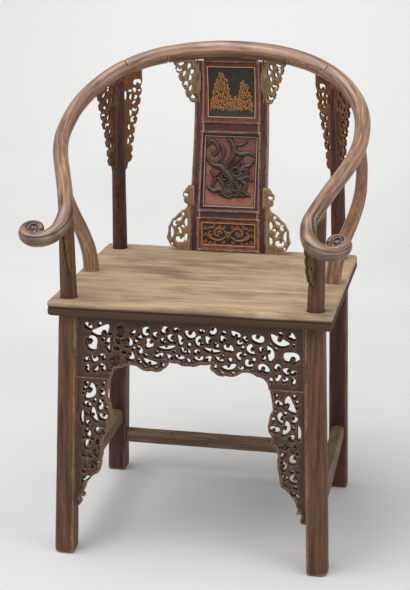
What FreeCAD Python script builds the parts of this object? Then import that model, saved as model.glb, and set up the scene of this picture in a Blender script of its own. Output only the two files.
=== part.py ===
"""Horseshoe back armchair with carved and pierced apron, brackets and spandrels.

Every piece is a separate solid, cut to meet its neighbours as the joiner would cut it: legs pass
through the seat board, posts are coped and tenoned into the crest rail, the crest rail is three
lengths scarfed together and locked by wedge pins, and the splat is a frame with grooved panels.

The chair faces -Y, +X is to the right seen from the front, and the sizes are millimetres.
Heights are measured from the floor, and reaches forward and back from the seat's middle line.
Left and right are as seen from the front. The right-hand pieces are modelled and mirrored.
"""
import FreeCAD, Part
import math
import os

os.makedirs("parts", exist_ok=True)

# Seat board
seat_height = 500.0
seat_thickness = 29.0
seat_front_width = 512.0
seat_rear_width = 528.0
seat_front_reach = 230.0
seat_rear_reach = 227.0
seat_corner_radius = 7.0
seat_top_round = 6.0
seat_bottom_chamfer = 3.0

# Legs below the seat, and their feet on the floor
front_foot_splay = 18.0
rear_foot_splay = 13.5
front_foot_kick = 7.0
rear_foot_kick = 8.0
foot_size = 39.0
leg_size_at_seat = 36.0
leg_outer_round = 14.0
leg_inner_round = 5.0
foot_chamfer = 3.0

# Posts above the seat, each in one length with its leg
front_post_side_inset = 33.5
front_post_edge_inset = 35.0
rear_post_side_inset = 35.5
rear_post_edge_inset = 35.5
post_diameter_at_seat = 31.0
front_post_top_diameter = 26.0
rear_post_top_diameter = 25.0
post_tenon_diameter = 12.0
post_tenon_length = 11.0

# Crest rail, from the middle of the back round to the necks of the two terminals
rail_half_width = 279.0
rail_back_reach = 206.0
rail_depth = 434.0
rail_back_height = 910.0
rail_drop = 242.0
rail_back_diameter = 35.0
rail_arm_diameter = 29.0
rail_neck_diameter = 27.5
rail_arm_share = 0.55
scribe_gap = 0.12
rail_course_shares = (
    (0.0, 0.0, 0.0),
    (0.215, 0.0104, 0.01),
    (0.423, 0.044, 0.038),
    (0.616, 0.091, 0.094),
    (0.781, 0.154, 0.181),
    (0.903, 0.24, 0.29),
    (0.975, 0.339, 0.402),
    (1.0, 0.456, 0.515),
    (0.987, 0.59, 0.633),
    (0.942, 0.695, 0.725),
    (0.867, 0.822, 0.835),
    (0.796, 0.947, 0.95),
    (0.769, 1.0, 1.0),
)
rail_stations = 20
section_facets = 16

# Places along the rail, as shares of the length from its back middle to a neck
rear_post_share = 0.345
side_post_share = 0.66
front_post_share = 0.945
scarf_share = 0.25
splat_head_share = 0.05
splat_spandrel_share = 0.172

# Scarf joints of the crest rail
scarf_length = 84.0
scarf_tongue_length = 6.0
scarf_tongue_thickness = 6.0
scarf_tongue_width = 12.0
wedge_thick_end = 9.0
wedge_thin_end = 7.0

# Scroll terminals of the arms
terminal_fall = 33.5
scroll_reach = 63.0
scroll_spread = 42.5
scroll_radius = 23.5
scroll_thickness = 23.0
scroll_round = 8.0
scroll_eye_diameter = 6.0
scroll_eye_depth = 5.0
scroll_course_shares = ((0.0, 0.3), (0.07, 0.6), (0.28, 0.88), (0.7, 1.0))
scroll_stations = 5
scroll_swell_share = 1.1
scroll_tip_share = 0.72

# Curved side posts between the seat and the arms
side_post_inset = 24.0
side_post_reach = -4.0
side_post_bottom_diameter = 31.0
side_post_top_diameter = 20.0
side_post_rise = 98.0
side_post_swell = 25.0
side_post_stations = 9
side_post_tenon_diameter = 18.0
side_post_tenon_length = 20.0

# Splat: a curved frame of two stiles and four rails round three panels
splat_top_width = 146.0
splat_foot_width = 162.0
splat_foot_inset = 30.0
splat_sway = 20.0
splat_lengths = 12
splat_thickness = 20.0
splat_stile_width = 19.0
splat_groove_width = 3.0
splat_groove_depth = 2.0
splat_top_rail_height = 10.0
splat_upper_rail_height = 26.0
splat_lower_rail_height = 22.0
splat_bottom_rail_height = 6.0
splat_bottom_panel_share = 0.1826
splat_middle_panel_share = 0.4627
splat_tenon_thickness = 7.0
splat_rail_tenon = 10.0
splat_rail_shoulder_share = 0.25
splat_foot_tenon = 15.0
panel_thickness = 9.0
panel_tongue = 5.0
panel_tongue_thickness = 4.0
panel_border = 8.0
panel_sinking = 2.0
middle_panel_set_back = 3.0

# Pierced boards: apron and brackets under the front of the seat
apron_thickness = 13.0
apron_set_back = 8.0
apron_depth = 119.0
bracket_height = 258.0
bracket_width = 64.0
board_tongue = 5.0
board_tongue_thickness = 5.0
opening_cut_shares = ((0.0, 0.0), (0.2, 0.75), (0.5, 1.0), (0.8, 0.75), (1.0, 0.0))
lobe_cut_shares = ((0.0, 0.0), (0.25, 0.85), (0.75, 0.85), (1.0, 0.0))

# Carved spandrels and ears
spandrel_thickness = 10.0
rear_spandrel_height = 195.0
rear_spandrel_inner_share = 0.262
rear_spandrel_outer_share = 0.43
splat_spandrel_height = 97.0
ear_width = 45.0
ear_height = 137.0
ear_thickness = 9.0
front_spandrel_height = 104.0
front_spandrel_width = 66.0
front_spandrel_drop = 34.0
front_spandrel_aim_shares = (0.05, 0.55)

# Stretchers between the legs
rear_stretcher_height = 78.0
rear_stretcher_depth = 30.0
rear_stretcher_thickness = 24.0
side_stretcher_height = 125.0
side_stretcher_depth = 34.0
side_stretcher_thickness = 26.0
stretcher_round = 8.0
stretcher_tenon_share = 0.55

# One length that carries cutting solids well past what they cut, and half a turn in degrees
overrun = 40.0
straight_turn = 180

# Outline of the apron's lower edge, from the leg to the middle: across and down as shares of the
# apron's half span and depth, then the rise of the arc to the next point over its chord
apron_edge_shares = (
    (0.705, 1.0, 0.0),
    (0.7, 0.955, -0.2),
    (0.6, 0.81, -0.14),
    (0.46, 0.77, 0.14),
    (0.33, 0.825, 0.18),
    (0.22, 0.775, 0.4),
    (0.215, 0.65, 0.06),
    (0.1, 0.68, 0.1),
    (0.012, 0.715, 0.2),
    (0.0, 0.705, 0.0),
)

# Openings: across and down, length and width, all in squares of the carver's grid, then the turn
# of the straight side in degrees; a width below zero turns the round side over
apron_grid_columns_share = 1 / 42
apron_grid_rows_share = 1 / 24
apron_opening_shares = (
    (32.9, 6.2, 8.8, 3.6, 154),
    (30.2, 10.7, 7.2, 2.8, -82),
    (22.4, 9.7, 5.1, -3.0, -76),
    (18.6, 7.2, 2.9, 2.1, 20),
    (18.3, 12.3, 4.3, -2.2, -100),
    (12.7, 6.3, 3.2, 2.5, -90),
    (7.2, 7.1, 4.0, 2.6, -85),
    (8.4, 11.0, 8.0, 1.8, 172),
    (3.1, 7.6, 5.2, -2.2, -100),
    (21.8, 15.2, 4.3, 3.0, 130),
    (26.4, 9.2, 2.9, 1.7, 60),
    (14.9, 17.0, 6.7, -2.5, 16),
    (11.2, 14.2, 4.6, 1.8, 155),
    (3.6, 14.4, 4.6, -2.2, 10),
    (35.6, 16.8, 3.5, 3.0, 75),
    (32.6, 19.6, 4.1, -2.1, -120),
    (38.7, 20.5, 3.8, 1.6, -86),
)
apron_middle_opening_shares = ((11.8, 2.4, 1.1),)

bracket_edge_shares = (
    (0.98, 0.0, 0.02),
    (0.9, 0.15, -0.1),
    (1.03, 0.315, 0.2),
    (0.985, 0.4, 0.12),
    (0.78, 0.485, -0.06),
    (0.76, 0.625, -0.04),
    (0.7, 0.72, 0.12),
    (0.28, 0.855, -0.1),
    (0.16, 0.895, -0.35),
    (0.27, 0.92, 0.7),
    (0.17, 0.955, -0.3),
    (0.06, 0.99, 0.3),
)
bracket_grid_columns_share = 1 / 12.9
bracket_grid_rows_share = 1 / 52
bracket_opening_shares = (
    (3.6, 2.2, 2.1, 1.7, -60),
    (10.4, 2.2, 2.1, 1.5, -70),
    (5.8, 5.9, 8.3, 3.5, 114),
    (9.3, 10.8, 5.6, -2.2, -86),
    (6.6, 14.8, 7.2, 2.5, -104),
    (2.1, 16.0, 6.9, 1.4, -88),
    (4.7, 22.0, 4.6, -2.2, -100),
    (7.6, 29.4, 4.6, 1.6, -92),
    (4.9, 34.3, 4.7, 3.0, 104),
    (3.7, 40.4, 5.0, -1.7, 140),
)

# The leaf edge and the openings of the long spandrels beside the rear posts: across from the post
# and down, as shares of the width and height
rear_spandrel_edge_shares = (
    (1.0, 0.0, 0.1),
    (0.93, 0.1, 0.25),
    (0.86, 0.2, 0.3),
    (0.8, 0.3, 0.25),
    (0.74, 0.4, 0.3),
    (0.62, 0.5, 0.25),
    (0.6, 0.6, 0.3),
    (0.5, 0.7, 0.25),
    (0.52, 0.8, 0.3),
    (0.4, 0.9, 0.15),
    (0.0, 1.05, 0.0),
)
rear_spandrel_opening_shares = (
    (0.71, 0.13, 0.07, 0.036, -60),
    (0.53, 0.2, 0.08, -0.028, -95),
    (0.66, 0.26, 0.06, 0.028, 40),
    (0.54, 0.37, 0.09, 0.03, -84),
    (0.45, 0.52, 0.08, -0.026, -80),
    (0.43, 0.67, 0.09, 0.024, -92),
)
rear_spandrel_notch_width = 5.0
rear_spandrel_notch_height = 18.0
rear_spandrel_notch_drop = 26.0

splat_spandrel_edge_shares = (
    (1.0, -0.2, 0.0),
    (1.0, 0.0, 0.2),
    (0.86, 0.13, 0.25),
    (0.72, 0.3, 0.25),
    (0.6, 0.48, 0.2),
    (0.42, 0.66, 0.25),
    (0.3, 0.84, 0.2),
    (0.16, 0.93, -0.2),
    (0.0, 1.0, 0.0),
)
splat_spandrel_opening_shares = (
    (0.62, 0.1, 0.15, 0.07, 170),
    (0.26, 0.15, 0.14, -0.07, -80),
    (0.5, 0.3, 0.15, 0.06, -70),
    (0.22, 0.4, 0.16, -0.06, -86),
    (0.24, 0.62, 0.16, 0.06, -76),
)

# Ears at the splat's foot: a leaf above and a ring of openings below
ear_edge_shares = (
    (0.0, 1.0, 0.1),
    (0.2, 0.92, 0.25),
    (0.24, 0.8, 0.3),
    (0.1, 0.71, -0.2),
    (0.3, 0.62, 0.05),
    (0.62, 0.52, 0.14),
    (1.0, 0.27, 0.28),
    (0.62, 0.03, 0.0),
    (0.62, 0.0, 0.0),
)
ear_opening_shares = (
    (0.8, 0.27, 0.2, -0.05, -90),
    (0.47, 0.47, 0.12, 0.045, 150),
    (0.17, 0.43, 0.15, 0.05, -88),
    (0.47, 0.3, 0.12, -0.055, 70),
    (0.18, 0.2, 0.14, 0.05, -84),
)

front_spandrel_edge_shares = (
    (1.0, 0.0, 0.1),
    (0.94, 0.22, 0.3),
    (0.84, 0.4, 0.3),
    (0.74, 0.58, 0.3),
    (0.6, 0.76, 0.25),
    (0.4, 0.9, 0.2),
    (0.0, 1.0, 0.0),
)
front_spandrel_opening_shares = (
    (0.7, 0.2, 0.17, 0.075, -70),
    (0.44, 0.32, 0.15, -0.065, -80),
    (0.6, 0.48, 0.14, 0.06, -110),
)

parts = {}


def vec(x, y, z):
    return FreeCAD.Vector(x, y, z)


def unit(v):
    return FreeCAD.Vector(v).normalize()


def mirrored(shape):
    """The left-hand twin of a right-hand shape."""
    return shape.mirror(vec(0, 0, 0), vec(1, 0, 0))


def add_pair(name, shape):
    """Keep a right-hand piece and its left-hand twin; the name holds a place for the side."""
    parts[name.format("right")] = shape
    parts[name.format("left")] = mirrored(shape)


def largest(shape):
    """The main solid of a cut, without the waste."""
    return max(shape.Solids, key=lambda solid: solid.Volume)


def placed(shape, origin, across, up):
    """A shape drawn in the XY plane, laid with X along `across` and Y near `up`."""
    x = unit(across)
    z = unit(x.cross(up))
    y = z.cross(x)
    shape.Placement = FreeCAD.Placement(FreeCAD.Matrix(
        x.x, y.x, z.x, origin.x,
        x.y, y.y, z.y, origin.y,
        x.z, y.z, z.z, origin.z,
        0, 0, 0, 1,
    ))
    return shape


def arc_or_line(start, end, bulge):
    """An edge between two flat points, which rises to its left by `bulge` of its chord."""
    chord = end - start
    if bulge == 0:
        return Part.LineSegment(start, end).toShape()
    crown = (start + end) * 0.5 + vec(-chord.y, chord.x, 0) * bulge
    return Part.Arc(start, crown, end).toShape()


def outline(points):
    """A closed wire through (x, y, bulge) points."""
    edges = []
    for index, (x, y, bulge) in enumerate(points):
        nx, ny, _ = points[(index + 1) % len(points)]
        edges.append(arc_or_line(vec(x, y, 0), vec(nx, ny, 0), bulge))
    return Part.Wire(edges)


def lobe_cuts(start, end, bulge):
    """A lobe between two flat points, pared with straight cuts, that rises to its left."""
    chord = end - start
    aside = vec(-chord.y, chord.x, 0) * bulge
    stops = [start + chord * along + aside * rise for along, rise in lobe_cut_shares]
    return [Part.LineSegment(first, second).toShape() for first, second in zip(stops, stops[1:])]


def leafy_outline(points):
    """A closed wire through (x, y, bulge) points, every lobe pared with straight cuts."""
    edges = []
    for index, (x, y, bulge) in enumerate(points):
        nx, ny, _ = points[(index + 1) % len(points)]
        if bulge:
            edges += lobe_cuts(vec(x, y, 0), vec(nx, ny, 0), bulge)
        else:
            edges.append(Part.LineSegment(vec(x, y, 0), vec(nx, ny, 0)).toShape())
    return Part.Wire(edges)


def opening(x, y, length, width, turn):
    """An opening with a straight side and one pared round; a width below zero turns it over."""
    ahead = vec(math.cos(math.radians(turn)), math.sin(math.radians(turn)), 0) * length
    aside = vec(-ahead.y, ahead.x, 0) * (width / length)
    head = vec(x, y, 0) - ahead / 2 - aside / 2
    stops = [head + ahead * along + aside * rise for along, rise in opening_cut_shares]
    return Part.makePolygon(stops + stops[:1])


def both_halves(right):
    """A symmetric outline from its right half, which ends on the middle line."""
    points = right[:-1] + [right[-1][:2] + (right[-2][2],)]
    for index in range(len(right) - 2, -1, -1):
        x, y, _ = right[index]
        points.append((-x, y, right[index - 1][2] if index else 0))
    return points


def pierced_board(border, openings, thickness):
    """A flat board in the XY plane, centred on it, with its openings cut right through."""
    board = Part.Face([border] + openings)
    board.validate()
    board = board.extrude(vec(0, 0, thickness))
    board.translate(vec(0, 0, -thickness / 2))
    return board


def section(centre, ahead, up, half_width, half_height):
    """An oval section square to `ahead`, in the narrow facets that a drawknife leaves."""
    across = unit(ahead.cross(up))
    rise = unit(across.cross(ahead))
    corners = []
    for index in range(section_facets):
        angle = 2 * math.pi * (index + 0.5) / section_facets
        corners.append(centre + across * (half_width * math.cos(angle))
                       + rise * (half_height * math.sin(angle)))
    return Part.makePolygon(corners + corners[:1])


def round_length(start, along, reach, diameter):
    """A straight round length, such as a tenon, in the facets of the post it belongs to."""
    ends = [section(place, along, vec(0, 1, 0), diameter / 2, diameter / 2)
            for place in (start, start + along * reach)]
    return Part.makeLoft(ends, True, True)


def box_between(low, high):
    """A box from its lowest to its highest corner."""
    size = high - low
    return Part.makeBox(size.x, size.y, size.z, low)


# The line of the crest rail

def rail_points():
    """The right half of the rail's centre line, from the middle of the back to the neck."""
    return [vec(x * rail_half_width, rail_back_reach - y * rail_depth, rail_back_height - z * rail_drop)
            for x, y, z in rail_course_shares]


def rail_curve():
    half = rail_points()
    left = [vec(-p.x, p.y, p.z) for p in reversed(half[1:])]
    curve = Part.BSplineCurve()
    curve.interpolate(left + half)
    return curve


rail_line = rail_curve()
rail_length = rail_line.length()


def along_rail(share):
    """Centre and direction of the rail at a share of the way from the back middle to a neck."""
    place = rail_line.parameterAtDistance(rail_length * (1 + share) / 2, rail_line.FirstParameter)
    return rail_line.value(place), unit(rail_line.tangent(place)[0])


def rail_radius(share):
    """The rail is thickest at the back, and thins to the arms and the necks."""
    share = abs(share)
    if share < rail_arm_share:
        blend = 0.5 - 0.5 * math.cos(math.pi * share / rail_arm_share)
        return (rail_back_diameter + (rail_arm_diameter - rail_back_diameter) * blend) / 2
    blend = (share - rail_arm_share) / (1 - rail_arm_share)
    return (rail_arm_diameter + (rail_neck_diameter - rail_arm_diameter) * blend) / 2


neck, neck_ahead = along_rail(1)
scroll_forward = vec(0, -math.cos(math.radians(terminal_fall)), -math.sin(math.radians(terminal_fall)))
scroll_up = vec(0, -math.sin(math.radians(terminal_fall)), math.cos(math.radians(terminal_fall)))


def on_scroll(spread_share, reach_share):
    """A point of the terminal's sloping plane, outward and forward from the neck."""
    outward = vec(scroll_spread, 0, 0) * spread_share
    return neck + outward + scroll_forward * (reach_share * scroll_reach)


def terminal_sections():
    """Sections of the strand that turns outward from the neck into the scroll."""
    course = [neck] + [on_scroll(across, ahead) for across, ahead in scroll_course_shares]
    curve = Part.BSplineCurve()
    curve.interpolate(Points=course, InitialTangent=neck_ahead * scroll_reach,
                      FinalTangent=vec(1, 0, 0) * scroll_reach)
    sections = []
    radius = rail_neck_diameter / 2
    for index in range(1, scroll_stations + 1):
        share = index / scroll_stations
        place = curve.parameterAtDistance(curve.length() * share, curve.FirstParameter)
        wide = 1 + (scroll_swell_share - 1) * math.sin(math.pi * share)
        high = 1 + (scroll_tip_share - 1) * share
        ahead = unit(curve.tangent(place)[0])
        sections.append(section(curve.value(place), ahead, scroll_up, radius * wide * high, radius * high))
    return sections


def rail_body():
    """The rail and the strands of both scrolls before the rail is divided: one smooth solid."""
    right = []
    for index in range(1, rail_stations + 1):
        share = index / rail_stations
        centre, ahead = along_rail(share)
        right.append(section(centre, ahead, vec(0, 0, 1), rail_radius(share), rail_radius(share)))
    right += terminal_sections()
    centre, ahead = along_rail(0)
    middle = section(centre, ahead, vec(0, 0, 1), rail_radius(0), rail_radius(0))
    half = Part.makeLoft([middle] + right, True, True)
    return half.fuse(mirrored(half))


def scroll():
    """The round end of the arm: a facetted disc with its rims eased, and a small drilled eye."""
    half = scroll_thickness / 2
    levels = ((-half, scroll_radius - scroll_round), (scroll_round - half, scroll_radius),
              (half - scroll_round, scroll_radius), (half, scroll_radius - scroll_round))
    rings = [section(vec(0, 0, height), vec(0, 0, 1), vec(0, 1, 0), radius, radius)
             for height, radius in levels]
    disc = Part.makeLoft(rings, True, True)
    eye = Part.makeCylinder(scroll_eye_diameter / 2, scroll_eye_depth, vec(0, 0, half - scroll_eye_depth))
    return placed(disc.cut(eye), on_scroll(1, 1), vec(1, 0, 0), scroll_forward * -1)


def scribe(first, last):
    """The rail's place between two shares, a scribing gap thicker than it, to cope its neighbours."""
    sections = []
    for index in range(math.floor(first * rail_stations), math.ceil(last * rail_stations) + 1):
        share = index / rail_stations
        centre, ahead = along_rail(share)
        radius = rail_radius(share) + scribe_gap
        sections.append(section(centre, ahead, vec(0, 0, 1), radius, radius))
    return Part.makeLoft(sections, True, True)


def scarf_region():
    """The space that belongs to an arm at its scarf, with its tongue and the other's slot.

    The arm keeps the lower half of the lap, and everything beyond it. A tongue on each tip of the
    lap keeps it from lifting.
    """
    far = rail_half_width * 2
    half = scarf_length / 2
    middle = scarf_tongue_width / 2
    lower = box_between(vec(-half, -far, -far), vec(far, far, 0))
    upper = box_between(vec(half, -far, 0), vec(far, far, far))
    own_tongue = box_between(vec(-half - scarf_tongue_length, -middle, -scarf_tongue_thickness),
                             vec(-half, middle, 0))
    other_tongue = box_between(vec(half, -middle, 0),
                               vec(half + scarf_tongue_length, middle, scarf_tongue_thickness))
    return lower.fuse([upper, own_tongue]).cut(other_tongue)


def wedge_pin():
    """The square wedge driven through the middle of the scarf from outside."""
    reach = rail_back_diameter
    thick = wedge_thick_end / 2
    thin = wedge_thin_end / 2
    ends = []
    for half, side in ((thin, -reach), (thick, reach)):
        ends.append(Part.makePolygon([vec(-half, side, -half), vec(half, side, -half), vec(half, side, half),
                                      vec(-half, side, half), vec(-half, side, -half)]))
    return Part.makeLoft(ends, True, True)


def at_scarf(shape):
    """Lay a shape at the scarf, with X along the rail and Z upward."""
    centre, ahead = along_rail(scarf_share)
    inward = unit(vec(0, 0, 1).cross(ahead))
    return placed(shape, centre, ahead, inward)


# Legs and posts

def square_corners(centre, size):
    """The corners of a leg's square section, the outer one first for a leg on the right."""
    half = size / 2
    corners = [centre + vec(half * x, half * y, 0) for x, y in ((1, 1), (1, -1), (-1, -1), (-1, 1))]
    return corners if centre.y > 0 else corners[1:] + corners[:1]


def tapered_block(low, high):
    """A solid between two four-cornered sections."""
    faces = [Part.Face(Part.makePolygon(low + low[:1])), Part.Face(Part.makePolygon(high + high[:1]))]
    for index in range(len(low)):
        following = (index + 1) % len(low)
        corners = [low[index], low[following], high[following], high[index]]
        faces.append(Part.Face(Part.makePolygon(corners + corners[:1])))
    return Part.makeSolid(Part.makeShell(faces))


def leg_centre(foot, post, height):
    """The leg's axis at a height: it leans in a little from the foot to the seat."""
    return foot + (post - foot) * (height / seat_height)


seat_underside = seat_height - seat_thickness
front_post = vec(seat_front_width / 2 - front_post_side_inset,
                 front_post_edge_inset - seat_front_reach, seat_height)
rear_post = vec(seat_rear_width / 2 - rear_post_side_inset,
                seat_rear_reach - rear_post_edge_inset, seat_height)
front_foot = vec(front_post.x + front_foot_splay, front_post.y - front_foot_kick, 0)
rear_foot = vec(rear_post.x + rear_foot_splay, rear_post.y + rear_foot_kick, 0)


def leg_size(height):
    return foot_size + (leg_size_at_seat - foot_size) * height / seat_underside


def shank(foot, shoulder):
    """The leg below the seat: tapered, well rounded on its outer corner and eased on the others."""
    block = tapered_block(square_corners(foot, foot_size), square_corners(shoulder, leg_size_at_seat))
    outer = square_corners(foot, foot_size)[0]
    uprights = [edge for edge in block.Edges if edge.BoundBox.ZLength > shoulder.z / 2]
    uprights.sort(key=lambda edge: edge.distToShape(Part.Vertex(outer))[0])
    block = block.makeFillet(leg_inner_round, uprights[1:])
    edge = min((edge for edge in block.Edges if edge.BoundBox.ZLength > shoulder.z / 2),
               key=lambda edge: edge.distToShape(Part.Vertex(outer))[0])
    block = block.makeFillet(leg_outer_round, [edge])
    sole = [edge for edge in block.Edges if edge.BoundBox.ZMax < foot_chamfer]
    return block.makeChamfer(foot_chamfer, sole)


def leg(foot, post, top_share, top_diameter):
    """One length from the floor through the seat to the rail, scribed and tenoned at its top.

    It is round and even where it passes through the seat, then tapers to its head, and leans
    toward its place under the rail.
    """
    shoulder = leg_centre(foot, post, seat_underside)
    top, _ = along_rail(top_share)
    rise = unit(top - shoulder)
    start = shoulder - rise * leg_inner_round
    through_length = leg_inner_round + seat_thickness + seat_top_round
    through = round_length(start, rise, through_length, post_diameter_at_seat)
    collar = start + rise * through_length
    ends = [section(place, rise, vec(0, 1, 0), diameter / 2, diameter / 2)
            for place, diameter in ((collar, post_diameter_at_seat), (top, top_diameter))]
    reach = top_diameter / rail_length
    coping = scribe(top_share - reach, min(top_share + reach, 1))
    scribed = largest(Part.makeLoft(ends, True, True).cut(coping))
    tenon_root = top - rise * (2 * post_tenon_length)
    tenon = round_length(tenon_root, rise, 2 * post_tenon_length, post_tenon_diameter)
    return shank(foot, shoulder).fuse([through, scribed, tenon]), tenon, through


def side_post():
    """The curved post that rises from the seat and swells outward before it meets the arm."""
    foot = vec((seat_front_width + seat_rear_width) / 4 - side_post_inset, side_post_reach, seat_height)
    top, _ = along_rail(side_post_share)
    drop = vec(top.x + side_post_swell, top.y, (foot.z + top.z) / 2 - side_post_swell / 4)
    rise = vec(foot.x, foot.y, foot.z + side_post_rise)
    curve = Part.BezierCurve()
    curve.setPoles([foot, rise, drop, top])
    sections = []
    for index in range(side_post_stations + 1):
        share = index / side_post_stations
        centre = curve.value(share)
        ahead = vec(0, 0, 1) if index == 0 else unit(curve.tangent(share)[0])
        diameter = side_post_bottom_diameter + (side_post_top_diameter - side_post_bottom_diameter) * share
        sections.append(section(centre, ahead, vec(0, 1, 0), diameter / 2, diameter / 2))
    reach = side_post_bottom_diameter / rail_length
    coping = scribe(side_post_share - reach, side_post_share + reach)
    body = largest(Part.makeLoft(sections, True, True).cut(coping))
    upward = vec(0, 0, 1)
    foot_tenon = round_length(foot - upward * side_post_tenon_length, upward, 2 * side_post_tenon_length,
                              side_post_tenon_diameter)
    head_root = top - ahead * (2 * post_tenon_length)
    head_tenon = round_length(head_root, ahead, 2 * post_tenon_length, post_tenon_diameter)
    return body.fuse([foot_tenon, head_tenon]), head_tenon, foot_tenon


# Seat board

def seat():
    """One wide board with a moulded edge, a little wider at the back."""
    front = seat_front_width / 2
    rear = seat_rear_width / 2
    board = Part.Face(Part.makePolygon([
        vec(-front, -seat_front_reach, seat_underside), vec(front, -seat_front_reach, seat_underside),
        vec(rear, seat_rear_reach, seat_underside), vec(-rear, seat_rear_reach, seat_underside),
        vec(-front, -seat_front_reach, seat_underside),
    ])).extrude(vec(0, 0, seat_thickness))
    corners = [edge for edge in board.Edges if edge.BoundBox.ZLength > seat_thickness / 2]
    board = board.makeFillet(seat_corner_radius, corners)
    top = [edge for edge in board.Edges if edge.BoundBox.ZMin > seat_height - seat_thickness / 4]
    board = board.makeFillet(seat_top_round, top)
    bottom = [edge for edge in board.Edges if edge.BoundBox.ZMax < seat_underside + seat_thickness / 4]
    return board.makeChamfer(seat_bottom_chamfer, bottom)


# Splat

splat_top_height = rail_back_height - rail_back_diameter / 2
splat_height = splat_top_height - seat_height
splat_head_reach = along_rail(splat_head_share)[0].y
splat_foot_reach = seat_rear_reach - splat_foot_inset
splat_sway_shares = ((0.0, 0.0), (0.34, 0.2), (0.64, 1.0), (1.0, 0.0))


def splat_course():
    """Side view of the splat's middle, in short lengths: it leans back, then forward under the rail."""
    points = []
    for rise, sway in splat_sway_shares:
        reach = splat_foot_reach + (splat_head_reach - splat_foot_reach) * rise + splat_sway * sway
        points.append(vec(0, reach, seat_height + rise * splat_height))
    curve = Part.BSplineCurve()
    curve.interpolate(points)
    step = curve.length() / splat_lengths
    return [curve.value(curve.parameterAtDistance(index * step, curve.FirstParameter))
            for index in range(splat_lengths + 1)]


splat_stops = splat_course()


def splat_reach(height):
    """How far back the middle of the splat's thickness stands at a height."""
    for low, high in zip(splat_stops, splat_stops[1:]):
        if height <= high.z:
            break
    return low.y + (high.y - low.y) * (height - low.z) / (high.z - low.z)


def splat_slab(front, back):
    """All the wood between two depths of the curved splat, well past its edges on every side."""
    drop = unit(splat_stops[0] - splat_stops[1]) * overrun
    rise = unit(splat_stops[-1] - splat_stops[-2]) * overrun
    path = [splat_stops[0] + drop] + splat_stops[1:-1] + [splat_stops[-1] + rise]
    border = [stop + vec(0, front, 0) for stop in path] + [stop + vec(0, back, 0) for stop in reversed(path)]
    side = Part.Face(Part.makePolygon(border + border[:1]))
    side.translate(vec(-splat_foot_width, 0, 0))
    return side.extrude(vec(2 * splat_foot_width, 0, 0))


def splat_half_width(height):
    """The splat widens a little from the rail down to the seat."""
    share = (height - seat_height) / splat_height
    return (splat_foot_width + (splat_top_width - splat_foot_width) * share) / 2


def front_prism(points):
    """A shape drawn in front view, (x, height) points, carried from front to back."""
    wire = Part.makePolygon([vec(x, 0, z) for x, z in points + points[:1]])
    solid = Part.Face(wire).extrude(vec(0, 2 * rail_back_reach, 0))
    return solid


def splat_band(low, high, inset):
    """The space between two heights of the splat, set in from its edges."""
    return front_prism([
        (-splat_half_width(low) + inset, low), (splat_half_width(low) - inset, low),
        (splat_half_width(high) - inset, high), (-splat_half_width(high) + inset, high),
    ])


def splat_stile_band(low, high, outer, inner):
    """The space along the right stile between two insets from the splat's edge."""
    return front_prism([
        (splat_half_width(low) - inner, low), (splat_half_width(low) - outer, low),
        (splat_half_width(high) - outer, high), (splat_half_width(high) - inner, high),
    ])


def splat_rail(low, high):
    """A rail between the stiles, with a tenon at each end."""
    half = splat_thickness / 2
    web = splat_slab(-half, half).common(splat_band(low, high, splat_stile_width))
    tongue = splat_tenon_thickness / 2
    shoulder = (high - low) * splat_rail_shoulder_share
    tenon = splat_slab(-tongue, tongue).common(
        splat_band(low + shoulder, high - shoulder, splat_stile_width - splat_rail_tenon))
    return web.fuse(tenon).removeSplitter()


def splat_panel(low, high, set_back, border, sinking):
    """A panel with a tongue all round, a flat border and a sunk field."""
    half = panel_thickness / 2
    face = splat_slab(set_back - half, set_back + half).common(splat_band(low, high, splat_stile_width))
    thin = panel_tongue_thickness / 2
    tongue = splat_slab(set_back - thin, set_back + thin).common(
        splat_band(low - panel_tongue, high + panel_tongue, splat_stile_width - panel_tongue))
    field = splat_slab(-overrun + set_back - half, set_back - half + sinking).common(
        splat_band(low + border, high - border, splat_stile_width + border))
    return face.fuse(tongue).cut(field).removeSplitter()


def splat_stile(head):
    """The right stile, with a groove run down its face, a foot tenon and a scribed head."""
    half = splat_thickness / 2
    tongue = splat_tenon_thickness / 2
    top = splat_top_height + rail_back_diameter / 2
    body = splat_slab(-half, half).common(splat_stile_band(seat_height, top, 0, splat_stile_width))
    middle = splat_stile_width / 2
    groove = splat_slab(-overrun, -half + splat_groove_depth).common(
        splat_stile_band(seat_height - overrun, top, middle - splat_groove_width / 2,
                         middle + splat_groove_width / 2))
    body = largest(body.cut(groove).cut(head))
    quarter = splat_stile_width / 4
    foot = splat_slab(-tongue, tongue).common(
        splat_stile_band(seat_height - splat_foot_tenon, seat_height, quarter, 3 * quarter))
    return body.fuse(foot).removeSplitter(), foot


# Pierced apron and brackets

def leg_side(height):
    """Where the inner face of a front leg stands at a height."""
    return leg_centre(front_foot, front_post, height).x - leg_size(height) / 2


board_reach = leg_size_at_seat / 2 - front_post.y - apron_set_back - apron_thickness / 2


def upright(board):
    """Stand a board, drawn face on, in the plane of the front legs."""
    return placed(board, vec(0, -board_reach, 0), vec(1, 0, 0), vec(0, 0, 1))


def board_tongue_strip(low, high):
    """The tongue by which a board sits in the groove of the right leg."""
    half = board_tongue_thickness / 2
    strip = Part.Face(Part.makePolygon([
        vec(leg_side(low), low, -half), vec(leg_side(low) + board_tongue, low, -half),
        vec(leg_side(high) + board_tongue, high, -half), vec(leg_side(high), high, -half),
        vec(leg_side(low), low, -half),
    ])).extrude(vec(0, 0, board_tongue_thickness))
    return upright(strip)


apron_foot = seat_underside - apron_depth
apron_span = leg_side(seat_underside)


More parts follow.
